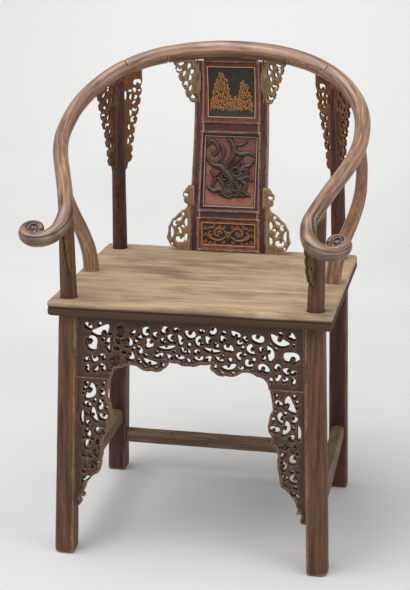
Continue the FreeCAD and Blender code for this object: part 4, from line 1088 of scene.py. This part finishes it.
def middle_panel_strokes(w, h):
    """Old branches, a slanting staff, a swirling mass and a cluster of blossom, in high relief."""
    def line(points, widths, heights):
        return bowed([(x * w, y * h) for x, y in points], widths, heights)

    strokes = [
        line([(0.03, 0.13), (0.1, 0.06), (0.2, 0.1), (0.24, 0.2), (0.17, 0.26), (0.12, 0.2)], [3, 5, 4, 3.5, 2.5], [3, 5, 5, 4, 3]),
        line([(0.45, 0.02), (0.52, 0.08), (0.56, 0.2), (0.5, 0.33), (0.42, 0.42)], [4, 6.5, 6.5, 6, 4], [5, 7, 7, 6, 4]),
        line([(0.55, 0.18), (0.7, 0.24), (0.85, 0.22), (0.98, 0.27)], [5, 5.5, 4.5, 3.5], [6, 6, 5, 4]),
        line([(0.6, 0.1), (0.72, 0.1), (0.82, 0.05)], [4, 3.5, 2], [5, 4, 3]),
        line([(0.3, 0.12), (0.36, 0.22), (0.3, 0.32), (0.2, 0.36)], [3, 4.5, 4, 2.5], [4, 5, 5, 3]),
        line([(0.18, 0.58), (0.45, 0.43), (0.74, 0.29)], [1.7, 1.9, 1.7], [6.5, 7, 6.5]),
        line([(0.3, 0.42), (0.42, 0.5), (0.52, 0.6), (0.5, 0.74)], [6, 8, 8.5, 6], [6, 7.5, 7, 5]),
        line([(0.95, 0.34), (0.88, 0.4), (0.78, 0.42), (0.7, 0.5), (0.74, 0.6)], [2.6, 4, 5, 6, 5], [4, 5, 6, 6.5, 5]),
        line([(0.6, 0.56), (0.72, 0.6), (0.84, 0.56), (0.93, 0.62)], [5, 6.5, 5, 3.5], [6, 6.5, 5, 4]),
        line([(0.7, 0.62), (0.82, 0.68), (0.8, 0.78), (0.9, 0.84)], [4.5, 5, 4.2, 3], [5, 6, 5, 4]),
        line([(0.62, 0.66), (0.68, 0.76), (0.63, 0.86)], [4, 4.6, 3], [5, 5, 4]),
        line([(0.08, 0.74), (0.2, 0.78), (0.32, 0.76), (0.4, 0.84), (0.52, 0.87)], [4, 5.5, 5.5, 5, 3.5], [5, 6, 6, 5, 4]),
        line([(0.12, 0.5), (0.2, 0.62), (0.14, 0.72)], [3, 4.5, 3.5], [4, 5, 4]),
        line([(0.27, 0.6), (0.36, 0.68), (0.34, 0.8)], [4, 5, 4], [5, 5.5, 4.5]),
        line([(0.04, 0.32), (0.14, 0.4), (0.26, 0.42)], [3, 4, 4], [4, 5, 5]),
    ]
    strokes += stone_heap(11, 0.72 * w, 0.36 * h, 0.46 * w, 0.95 * w, 0.62 * h, 6.2)
    strokes += stone_heap(13, 0.3 * w, 0.3 * h, 0.18 * w, 0.42 * w, 0.46 * h, 5.0)
    strokes += stone_heap(17, 0.55 * w, 0.6 * h, 0.3 * w, 0.9 * w, 0.84 * h, 6.0)
    strokes.append(curl(0.62 * w, 0.48 * h, 12, 30, 1.3, 3.4, 7.5))
    strokes.append(curl(0.8 * w, 0.5 * h, 8, 120, 1.1, 2.8, 6))
    strokes.append(curl(0.4 * w, 0.58 * h, 9, -60, -1.2, 3, 7))
    for petal in range(7):
        angle = math.radians(petal * 360 / 7 + 12)
        x, y = 0.47 * w, 0.79 * h
        strokes.append([(x, y, 2.6, 5.5), (x + 7 * math.cos(angle), y + 7 * math.sin(angle), 3.2, 5)])
    return strokes


def bottom_panel_strokes(w, h):
    """A middle motif with scrolls to both sides."""
    strokes = [curl(0.5 * w, 0.5 * h, 5.5, 90, 1.6, 2.4, 2.2)]
    for side in (-1, 1):
        def at(x, y, mirror=side):
            return ((0.5 + mirror * x) * w, y * h)
        strokes.append(bowed([at(0.05, 0.42), at(0.13, 0.24), at(0.24, 0.27), at(0.27, 0.5), at(0.18, 0.6)],
                             [1.6, 2.6, 2.6, 1.8], [1.6, 2.4, 2.4, 1.4]))
        strokes.append(bowed([at(0.06, 0.62), at(0.16, 0.78), at(0.3, 0.74), at(0.4, 0.56), at(0.36, 0.38)],
                             [1.6, 2.4, 2.6, 1.8], [1.6, 2.4, 2.4, 1.4]))
        strokes.append(bowed([at(0.27, 0.2), at(0.36, 0.2), at(0.42, 0.3)], [1.4, 2.2, 1.4], [1.5, 2, 1.3]))
        x, y = at(0.18, 0.45)
        strokes.append(curl(x, y, 5, 0, 1.2 * side, 1.7, 2))
        x, y = at(0.36, 0.62)
        strokes.append(curl(x, y, 5, 180, -1.2 * side, 1.7, 2))
        for along, down, radius in ((0.08, 0.14, 3.6), (0.17, 0.1, 3.2), (0.46, 0.18, 4.2), (0.45, 0.84, 4.2), (0.09, 0.86, 3.6),
                                    (0.27, 0.9, 4.0), (0.46, 0.5, 3.4), (0.36, 0.9, 3.0), (0.28, 0.06, 3.0)):
            x, y = at(along, down)
            strokes.append(curl(x, y, radius, 90 - 60 * side, 0.9 * side, 1.5, 1.9))
    return strokes


def panel(name, node, opening, face, back, set_back, strokes_for, material, border, frame_line, hatch, plate=0.0):
    """A carved and painted panel in its opening of the splat's frame."""
    pitch = bpy.context.scene.chair_sizes.panel_pitch
    low, high = opening
    rows = int((high - low) / pitch) + 1
    half = splat_half_width((low + high) / 2) - STILE_WIDTH
    columns = int(2 * half / pitch) + 1
    heights = np.linspace(low + JOINT_GAP, high - JOINT_GAP, rows)
    share = np.linspace(-1, 1, columns)
    z, u = np.meshgrid(heights, share, indexing="ij")
    x = u * (splat_half_width(z) - STILE_WIDTH - JOINT_GAP)
    across = (x + half) / MM
    down = (high - z) / MM
    width, depth = 2 * half / MM, (high - low) / MM
    edge = np.minimum(np.minimum(across, width - across), np.minimum(down, depth - down))
    inset = border
    strokes = strokes_for(width - 2 * inset, depth - 2 * inset)
    height, along, beside = stroke_field(across - inset, down - inset, strokes)
    inner = np.clip((edge - inset) / 0.8, 0, 1)
    height = height * inner
    cut = np.abs(np.sin(np.pi * along / hatch)) ** 8 * 0.5 + np.exp(-((np.abs(beside) - 0.45) / 0.12) ** 2) * 0.6
    grained = field_noise(np.stack([across.ravel(), down.ravel(), 0 * down.ravel()], axis=1), 3.0, seed_of(name)).reshape(x.shape)
    tall = np.clip(height / 1.2, 0, 1)
    relief = height - cut * 0.9 * tall + grained * 0.22 * (0.4 + tall)
    sink = -2.0 * inner
    line_height = frame_line * np.sqrt(np.clip(1 - ((edge - inset + 1.6) / 1.6) ** 2, 0, 1))
    level = (relief + sink + line_height + plate * 0) * MM
    mesh = relief_slab(name, x, z, face(z) + set_back - level, face(z) + set_back + 8 * MM)
    pad = np.zeros(2 * rows)
    figure = np.clip((height - 0.5) / 0.8, 0, 1)
    band = np.clip(1 - inner * 2, 0, 1) * (edge < inset)
    rule = np.exp(-((edge - inset + 1.6) / 1.0) ** 2)
    for mark, values in (("figure", figure), ("band", band), ("rule", rule), ("low", np.clip(down / depth - 0.55, 0, 1) * 0.8)):
        store(mesh, mark, np.concatenate([values.ravel(), pad]))
    straight_grain(mesh, name, (1, 0, 0))
    return finish_piece(name, mesh, [node], material, sharp=60, passes=5, hidden=2 * rows)


# One step for each group of pieces

class CHAIR_OT_crest_rail(bpy.types.Operator):
    """Shape the crest rail's middle and arms, with their scarf seams and scrolled terminals"""
    bl_idname = "chair.crest_rail"
    bl_label = "Crest rail"

    def execute(self, context):
        material = rail_wood(context.scene.chair_colours.rail)
        course = with_axes(rail_centres(1.5 * MM))
        centres, aheads, acrosses, rises = course
        shares = np.linspace(-1, 1, len(centres))
        radii = rail_radii(shares)
        run = np.concatenate([[0], np.cumsum(np.linalg.norm(np.diff(centres, axis=0), axis=1))])
        run -= run[-1] / 2
        scarf = run[-1] * SCARF_SHARE
        chosen = np.abs(run) < scarf + SCARF_HALF_LENGTH
        middle = tuple(part[chosen] for part in course)
        points, faces = tube(middle, radii[chosen], radii[chosen])
        mesh = mesh_from("crest_rail_centre_worn", points, faces)
        in_lap = np.abs(run[chosen]) > scarf - SCARF_HALF_LENGTH
        self.lap(mesh, middle, in_lap, 1, context.scene.chair_sizes.scarf_gap)
        mesh = remade(mesh, 1.5 * MM, 2)
        waver(mesh, "crest_rail_centre", 0.35 * MM, 40 * MM)
        course_grain(mesh, "crest_rail_centre", middle)
        finish_piece("crest_rail_centre_worn", mesh, ["crest_rail_centre"], material)
        for side, word in ((-1, "left"), (1, "right")):
            self.arm(context, course, run, radii, scarf, side, word, material)
        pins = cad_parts["crest_rail_wedge_pins"]
        split = pin_wood()
        for place in range(max(len(pins.material_slots), 1)):
            if not pins.material_slots:
                pins.data.materials.append(split)
            pins.material_slots[place].material = split
        return {"FINISHED"}

    def lap(self, mesh, course, in_lap, keep, gap):
        """Cuts half the rail away through the lap, so that the two lengths lie on each other."""
        centres, _, _, rises = course
        sides = 40
        points = points_of(mesh).reshape(len(centres), sides, 3)
        rise = ((points - centres[:, None]) * rises[:, None]).sum(axis=-1)
        limit = keep * gap / 2
        wrong = (rise * keep < limit * keep) & in_lap[:, None]
        points = points + np.where(wrong, limit - rise, 0)[..., None] * rises[:, None]
        set_points(mesh, points.reshape(-1, 3))

    def arm(self, context, course, run, radii, scarf, side, word, material):
        """One arm from its scarf to its scroll."""
        chosen = run * side > scarf - SCARF_HALF_LENGTH
        parts = [part[chosen] for part in course]
        radius = radii[chosen]
        lap_end = run[chosen] * side
        if side < 0:
            parts = [part[::-1] for part in parts]
            radius, lap_end = radius[::-1], lap_end[::-1]
        neck = parts[0][-1]
        rows = np.array(SCROLL_COURSE)
        turned = np.array((side, -1, -1)) * MM
        stops = np.vstack([parts[0][-12:-1:5], neck, neck + rows[:, :3] * turned])
        tail = smooth_course(stops, 1.5 * MM)
        tail = tail[int(np.argmin(np.linalg.norm(tail - neck, axis=1))) + 1:]
        whole = with_axes(np.vstack([parts[0], tail]))
        knots = np.concatenate([[0], np.cumsum(np.linalg.norm(np.diff(np.vstack([[0, 0, 0], rows[:, :3]]), axis=0), axis=1))])
        share = np.linspace(0, 1, len(tail) + 1)[1:]
        strand = np.interp(share * knots[-1], knots, np.concatenate([[RAIL_NECK_RADIUS], rows[:, 3] * MM]))
        radii = np.concatenate([radius, strand])
        points, faces = tube(whole, radii, radii)
        name = f"crest_rail_{word}_arm"
        mesh = mesh_from(name, points, faces)
        in_lap = np.concatenate([lap_end < scarf + SCARF_HALF_LENGTH, np.zeros(len(tail), dtype=bool)])
        self.lap(mesh, whole, in_lap, -1, context.scene.chair_sizes.scarf_gap)
        eye = neck + np.array(SCROLL_EYE) * turned
        web = self.web(eye, whole[3][len(parts[0]):].mean(axis=0))
        mesh = remade(joined([mesh, web]), 1.3 * MM, 3)
        self.carve_scroll(mesh, whole, len(parts[0]), side, eye)
        waver(mesh, name, 0.35 * MM, 40 * MM)
        course_grain(mesh, name, whole)
        finish_piece(name + "_worn", mesh, [name], material, wear_depth=0.9 * MM)

    def web(self, eye, over):
        """The flat dome of wood inside the scroll, round its eye."""
        over = over / np.linalg.norm(over)
        beside = np.cross(over, (0, 0, 1))
        beside /= np.linalg.norm(beside)
        ahead = np.cross(over, beside)
        rings, turns = 12, 32
        angles = np.linspace(0, 2 * np.pi, turns, endpoint=False)
        points = [eye + over * SCROLL_WEB_HALF, eye - over * SCROLL_WEB_HALF]
        for ring in range(1, rings):
            lean = np.pi * ring / rings
            wide, tall = SCROLL_WEB_RADIUS * np.sin(lean), SCROLL_WEB_HALF * np.cos(lean)
            points += [eye + over * tall + wide * (beside * np.cos(turn) + ahead * np.sin(turn)) for turn in angles]
        faces = []
        for turn in range(turns):
            after = (turn + 1) % turns
            faces.append((0, 2 + turn, 2 + after))
            faces.append((1, 2 + (rings - 2) * turns + after, 2 + (rings - 2) * turns + turn))
            for ring in range(rings - 2):
                upper, lower = 2 + ring * turns, 2 + (ring + 1) * turns
                faces.append((upper + turn, lower + turn, lower + after, upper + after))
        return mesh_from("web", points, faces)

    def carve_scroll(self, mesh, course, neck, side, eye):
        """Grooves that follow the scroll, a notched leaf edge on its inner side, and its drilled eye."""
        centres, _, acrosses, rises = course
        first = neck - 32
        tree = KDTree(len(centres) - first)
        for index in range(first, len(centres)):
            tree.insert(centres[index], index)
        tree.balance()
        points, normals = points_of(mesh), normals_of(mesh)
        found = [tree.find(point)[1:] for point in points]
        nearest = np.array([index for index, _ in found])
        offset = points - centres[nearest]
        inward = (offset * acrosses[nearest]).sum(axis=1) * -side
        angle = np.arctan2((offset * rises[nearest]).sum(axis=1), inward)
        run = (nearest - first) * 1.5 * MM
        begun = np.clip(run / (30 * MM), 0, 1) * np.clip((nearest - first) / 3, 0, 1)
        depth = 1.9 * MM * np.exp(-((angle - 0.95) / 0.13) ** 2) + 1.2 * MM * np.exp(-((angle - 0.25) / 0.14) ** 2)
        depth += 0.8 * MM * np.exp(-((angle - 2.7) / 0.12) ** 2)
        nick = np.abs(np.sin(np.pi * run / (7.5 * MM) + angle)) ** 5
        depth += 1.5 * MM * nick * np.clip(1 - np.abs(angle - 0.35) / 0.6, 0, 1)
        hole = np.linalg.norm(points - eye, axis=1)
        drilled = np.clip(1 - hole / (8.5 * MM), 0, 1) * np.clip(normals[:, 2] * 3, 0, 1)
        depth = depth * begun + 6.5 * MM * drilled ** 0.7
        # The depth mark darkens the grooves and the drilled eye as painted shade, and adds patches that grow darker
        # toward the scroll's end.
        darker_toward_end = np.clip(run / (70 * MM), 0, 1) * (0.42 + 0.42 * field_noise(points, 24 * MM, 4))
        store(mesh, "depth", np.clip(depth / (1.6 * MM) + darker_toward_end, 0, 1))
        set_points(mesh, points - normals * depth[:, None])


class CHAIR_OT_side_posts(bpy.types.Operator):
    """Shape the two bent posts under the arms"""
    bl_idname = "chair.side_posts"
    bl_label = "Side posts"

    def execute(self, context):
        material = side_post_wood(context.scene.chair_colours.side_post)
        centres = rail_centres(1.5 * MM)
        top = centres[int(round((len(centres) - 1) * (1 + SIDE_POST_SHARE) / 2))]
        foot = np.array((SIDE_POST_FOOT[0], SIDE_POST_FOOT[1] + SHIFT, SEAT_TOP))
        drop = np.array((top[0] + SIDE_POST_SWELL, top[1], (foot[2] + top[2]) / 2 - SIDE_POST_SWELL / 4))
        rise = foot + np.array((0, 0, SIDE_POST_RISE))
        share = np.linspace(0, 1, 160)[:, None]
        line = (1 - share) ** 3 * foot + 3 * share * (1 - share) ** 2 * rise + 3 * share ** 2 * (1 - share) * drop + share ** 3 * top
        line = np.vstack([foot - np.array((0, 0, 4 * MM)), line])
        radii = np.interp(np.linspace(0, 1, len(line)), [0, 1], [SIDE_POST_FOOT_RADIUS, SIDE_POST_HEAD_RADIUS])
        for side, word in ((-1, "left"), (1, "right")):
            course = with_axes(line * np.array((side, 1, 1)), up=(0, 1, 0))
            points, faces = tube(course, radii, radii)
            name = f"{word}_side_post"
            mesh = remade(mesh_from(name, points, faces), 1.6 * MM, 2)
            waver(mesh, name, 0.35 * MM, 35 * MM)
            course_grain(mesh, name, course)
            finish_piece(name + "_worn", mesh, [name], material)
        return {"FINISHED"}


def worn_node(node, voxel, passes, along, material, depth=0.3 * MM, wavelength=45 * MM):
    """A node's own solid with softened arrises and hand-planed unevenness."""
    mesh = remade(node_mesh(node), voxel, passes)
    waver(mesh, node, depth, wavelength)
    straight_grain(mesh, node, along)
    return finish_piece(node + "_worn", mesh, [node], material, wear_depth=0.5 * MM)


class CHAIR_OT_legs(bpy.types.Operator):
    """Wear the four legs, each in one length with its post"""
    bl_idname = "chair.legs"
    bl_label = "Legs and posts"

    def execute(self, context):
        colours = context.scene.chair_colours
        front, rear = leg_wood(colours.leg), rear_leg_wood(colours.rear_leg)
        for word in ("left", "right"):
            worn_node(f"front_{word}_leg", 2.2 * MM, 3, (0, 0, 1), front)
            worn_node(f"rear_{word}_leg", 2.2 * MM, 3, (0, 0, 1), rear)
        return {"FINISHED"}


class CHAIR_OT_stretchers(bpy.types.Operator):
    """Wear the three stretchers"""
    bl_idname = "chair.stretchers"
    bl_label = "Stretchers"

    def execute(self, context):
        material = stretcher_wood(context.scene.chair_colours.stretcher)
        worn_node("rear_stretcher", 2.0 * MM, 2, (1, 0, 0), material)
        for word in ("left", "right"):
            worn_node(f"{word}_side_stretcher", 2.0 * MM, 2, (0, 1, 0), material)
        return {"FINISHED"}


class CHAIR_OT_seat(bpy.types.Operator):
    """Plane and wear the seat board"""
    bl_idname = "chair.seat"
    bl_label = "Seat board"

    def execute(self, context):
        mesh = remade(node_mesh("seat_board"), 2.4 * MM, 3)
        points = points_of(mesh)
        normals = normals_of(mesh)
        low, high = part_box("seat_board")
        middle = (np.array(low) + np.array(high)) / 2
        spread = (points[:, :2] - middle[:2]) / ((np.array(high) - np.array(low))[:2] / 2)
        dish = np.clip(1 - (spread ** 2).sum(axis=1), 0, 1) * np.clip(normals[:, 2], 0, 1)
        stretched = points * np.array((0.16, 1, 1))
        ridge = field_noise(stretched, 7 * MM, 5) * 0.22 * MM + field_noise(points, 70 * MM, 8) * 0.5 * MM
        set_points(mesh, points - np.array((0, 0, 1)) * (dish * 1.2 * MM)[:, None] - normals * (0.4 * MM + ridge)[:, None])
        straight_grain(mesh, "seat_board", (1, 0, 0))
        # Painted shade: the board's sides darken, more so lower down, and so does the quirk groove below its top.
        below = np.clip((high[2] - 8 * MM - points[:, 2]) / (8 * MM), 0, 1)
        edge = np.clip(0.62 - normals[:, 2], 0, 1) * (0.9 + 0.9 * below)
        spill = np.linalg.norm((points[:, :2] - middle[:2] - np.array(SEAT_STAIN)) / np.array(SEAT_STAIN_REACH), axis=1)
        stain = 0.58 * np.clip(1.35 - spill, 0, 1) ** 0.6 * (0.9 + 0.5 * field_noise(points * (0.5, 1, 1), 38 * MM, 11))
        quirk = np.exp(-((points[:, 2] - high[2] + 14 * MM) / (1.8 * MM)) ** 2) * (np.abs(normals[:, 2]) < 0.6)
        set_points(mesh, points_of(mesh) - normals * (quirk * 1.6 * MM)[:, None])
        # The depth mark carries the painted shade of the sides and quirk together with the real stain.
        store(mesh, "depth", np.maximum(edge + quirk, stain) * (0.9 + 0.25 * field_noise(stretched, 30 * MM, 3)))
        finish_piece("seat_board_worn", mesh, ["seat_board"],
                     seat_wood(context.scene.chair_colours.seat), wear_depth=0.6 * MM)
        return {"FINISHED"}


class CHAIR_OT_splat(bpy.types.Operator):
    """Run the beads of the splat's frame, and carve and paint its panels"""
    bl_idname = "chair.splat"
    bl_label = "Splat"

    def execute(self, context):
        frame_lacquer(context.scene.chair_colours.lacquer)
        heights, fronts, backs = face_depths("splat_right_stile")
        face, back = fitted(heights, fronts), fitted(heights, backs)
        for side, word in ((-1, "left"), (1, "right")):
            node = f"splat_{word}_stile"
            levels = np.arange(SEAT_TOP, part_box(node)[1][2] - 9 * MM, 0.9 * MM)
            z, share = np.meshgrid(levels, np.linspace(0, 1, 32), indexing="ij")
            inner = splat_half_width(z) - STILE_WIDTH + JOINT_GAP
            x = side * (inner + share * (STILE_WIDTH - JOINT_GAP))
            frame_member(f"splat_{word}_stile_beaded", node, x, z, face, back, side)
        for place in ("bottom", "lower", "upper", "top"):
            node = f"splat_{place}_rail"
            low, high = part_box(node)
            levels = np.linspace(low[2], high[2], max(int((high[2] - low[2]) / (0.55 * MM)), 6))
            z, share = np.meshgrid(levels, np.linspace(-1, 1, 180), indexing="ij")
            x = share * (splat_half_width(z) - STILE_WIDTH - JOINT_GAP)
            frame_member(f"splat_{place}_rail_beaded", node, x, z, face, back)
        openings = panel_openings()
        # The last colour of each panel is its figure's dark tone, laid in the carving's hollows partly as painted
        # shade.
        top = painted("lacquer_painted_top_panel_gilt", linear("#0F1216"), linear("#1E2A22"), linear("#7C2E22"),
                      linear("#B59A6A"), tuple(context.scene.chair_colours.gilt), linear("#3A2412"))
        middle = painted("lacquer_painted_middle_panel", linear("#6A3430"), linear("#93594A"), linear("#4A1C16"),
                         linear("#A59A86"), linear("#48322A"), linear("#0D0706"))
        bottom = painted("lacquer_painted_bottom_panel", linear("#122022"), linear("#0D1214"), linear("#8E4A2E"),
                         linear("#B08A4C"), linear("#965A2C"), linear("#431C12"))
        panel("splat_top_panel_carved", "splat_top_panel", openings[2], face, back, PANEL_SET_BACK,
              top_panel_strokes, top, 9.0, 0.8, 2.6)
        panel("splat_middle_panel_carved", "splat_middle_panel", openings[1], face, back, MIDDLE_SET_BACK,
              middle_panel_strokes, middle, 7.0, 1.8, 2.2)
        panel("splat_bottom_panel_carved", "splat_bottom_panel", openings[0], face, back, PANEL_SET_BACK,
              bottom_panel_strokes, bottom, 8.0, 0.8, 2.4)
        return {"FINISHED"}


class CHAIR_OT_apron(bpy.types.Operator):
    """Carve the apron and the brackets below the seat's front"""
    bl_idname = "chair.apron"
    bl_label = "Apron and brackets"

    def execute(self, context):
        material = carved_wood(context.scene.chair_colours.carved)
        bead = context.scene.chair_sizes.edge_bead
        carve_board("front_apron_carved", "front_apron", (0, -1, 0), material, (1, 0, 0), bead)
        for word in ("left", "right"):
            carve_board(f"front_{word}_bracket_carved", f"front_{word}_bracket", (0, -1, 0),
                        material, (0, 0, 1), bead)
        return {"FINISHED"}


class CHAIR_OT_spandrels(bpy.types.Operator):
    """Carve the spandrels beside the posts and the splat's head, and the ears at its foot"""
    bl_idname = "chair.spandrels"
    bl_label = "Spandrels and ears"

    def execute(self, context):
        colours = context.scene.chair_colours
        outer = spandrel_wood("hardwood_outer_spandrels_carved", colours.outer_spandrel)
        inner = spandrel_wood("hardwood_inner_spandrels_carved", colours.inner_spandrel)
        ear = ear_wood(colours.ear)
        for word in ("left", "right"):
            for node, slot, material, pierce in (
                    (f"rear_{word}_outer_spandrel", "spandrel_wood", outer, 7 * MM),
                    (f"rear_{word}_inner_spandrel", "spandrel_wood", inner, 5 * MM),
                    (f"front_{word}_post_spandrel", "spandrel_wood", outer, 7 * MM),
                    (f"splat_upper_{word}_spandrel", "ear_wood", ear, 5.5 * MM),
                    (f"splat_lower_{word}_ear", "ear_wood", ear, 4.4 * MM)):
                carve_board(node + "_carved", node, (0, -1, 0), material, (0, 0, 1),
                            both_sides=True, leafy=0.35, pierce=pierce)
        return {"FINISHED"}


class CHAIR_OT_stage(bpy.types.Operator):
    """Set the pale floor, the soft lights and the camera"""
    bl_idname = "chair.stage"
    bl_label = "Stage"

    def execute(self, context):
        self.backdrop()
        for name, place, aim, size, power in (
                ("key", (-1.1, -1.0, 3.9), (0, 0.1, 0.4), 3.4, 124),
                ("fill", (2.4, -1.3, 1.7), (0, 0, 0.4), 1.8, 22),
                ("back", (-0.5, 1.6, 2.7), (-0.8, 4.0, 1.4), 1.8, 30)):
            light = bpy.data.lights.new(name, "AREA")
            light.shape = "DISK"
            light.size = size
            light.energy = power
            lamp = bpy.data.objects.new(name, light)
            lamp.location = place
            lamp.rotation_euler = (Vector(aim) - Vector(place)).to_track_quat("-Z", "Y").to_euler()
            context.collection.objects.link(lamp)
        world = bpy.data.worlds.new("soft_studio")
        world.use_nodes = True
        world.node_tree.nodes["Background"].inputs["Color"].default_value = (*linear("#F4F4F2"), 1)
        world.node_tree.nodes["Background"].inputs["Strength"].default_value = 0.82
        context.scene.world = world
        context.scene.view_settings.view_transform = "Standard"
        camera = bpy.data.cameras.new("camera")
        camera.sensor_fit = "VERTICAL"
        camera.sensor_height = 36
        camera.lens = 78.4
        camera.clip_start = 0.1
        camera.clip_end = 30
        holder = bpy.data.objects.new("camera", camera)
        holder.location = (0.4418, -2.3072, 1.1335)
        aim = Vector((-0.0111, 0.0347, 0.4602)) - holder.location
        turn = aim.to_track_quat("-Z", "Y").to_matrix().to_4x4()
        holder.matrix_world = (holder.matrix_world.Translation(holder.location) @ turn
                               @ holder.matrix_world.Rotation(math.radians(0.153), 4, "Z"))
        context.collection.objects.link(holder)
        context.scene.camera = holder
        return {"FINISHED"}

    def backdrop(self):
        """A floor that turns up smoothly behind the chair."""
        profile = [(-6.0, 0.0), (2.2, 0.0)]
        for step in range(1, 13):
            angle = math.pi / 2 * step / 12
            profile.append((2.2 + 1.6 * math.sin(angle), 1.6 * (1 - math.cos(angle))))
        profile.append((3.8, 7.0))
        points, faces = [], []
        for side in (-7.0, 7.0):
            points += [(side, y, z) for y, z in profile]
        count = len(profile)
        for step in range(count - 1):
            faces.append((step, step + 1, count + step + 1, count + step))
        mesh = mesh_from("floor", points, faces)
        mesh.polygons.foreach_set("use_smooth", [True] * len(mesh.polygons))
        material = bpy.data.materials.new("painted_floor_matt")
        material.use_nodes = True
        shader = material.node_tree.nodes["Principled BSDF"]
        place = add(material.node_tree, "ShaderNodeTexCoord").outputs["Object"]
        cloud = add(material.node_tree, "ShaderNodeTexNoise", {"Scale": 1.6, "Detail": 3.0}, {"Vector": place}).outputs["Fac"]
        height = add(material.node_tree, "ShaderNodeSeparateXYZ", None, {"Vector": place}).outputs["Z"]
        floor_tone = blend_colours(material.node_tree, ramp(material.node_tree, cloud, 0.3, 0.7),
                                   linear("#C6C6C6"), linear("#CDCDCD"))
        tone = blend_colours(material.node_tree, ramp(material.node_tree, height, 0.0, 0.5), floor_tone, linear("#CBCBCB"))
        material.node_tree.links.new(tone, shader.inputs["Base Color"])
        shader.inputs["Roughness"].default_value = 0.85
        mesh.materials.append(material)
        floor = bpy.data.objects.new("floor", mesh)
        bpy.context.collection.objects.link(floor)


STEPS = (CHAIR_OT_stage, CHAIR_OT_crest_rail, CHAIR_OT_side_posts, CHAIR_OT_legs, CHAIR_OT_stretchers,
         CHAIR_OT_seat, CHAIR_OT_splat, CHAIR_OT_apron, CHAIR_OT_spandrels)


class CHAIR_PT_finish(bpy.types.Panel):
    """Lists the steps and the values that they use"""
    bl_label = "Horseshoe back armchair"
    bl_idname = "CHAIR_PT_finish"
    bl_space_type = "VIEW_3D"
    bl_region_type = "UI"
    bl_category = "Chair"

    def draw(self, context):
        for step in STEPS:
            self.layout.operator(step.bl_idname)
        for group in (context.scene.chair_sizes, context.scene.chair_colours):
            for name in group.__annotations__:
                self.layout.prop(group, name)


CLASSES = (ChairSizes, ChairColours, *STEPS, CHAIR_PT_finish)


def register():
    for entry in CLASSES:
        bpy.utils.register_class(entry)
    bpy.types.Scene.chair_sizes = PointerProperty(type=ChairSizes)
    bpy.types.Scene.chair_colours = PointerProperty(type=ChairColours)


def unregister():
    del bpy.types.Scene.chair_colours
    del bpy.types.Scene.chair_sizes
    for entry in reversed(CLASSES):
        bpy.utils.unregister_class(entry)


def main():
    register()
    for step in STEPS:
        group, word = step.bl_idname.split(".")
        getattr(getattr(bpy.ops, group), word)()


if __name__ == "__main__":
    main()
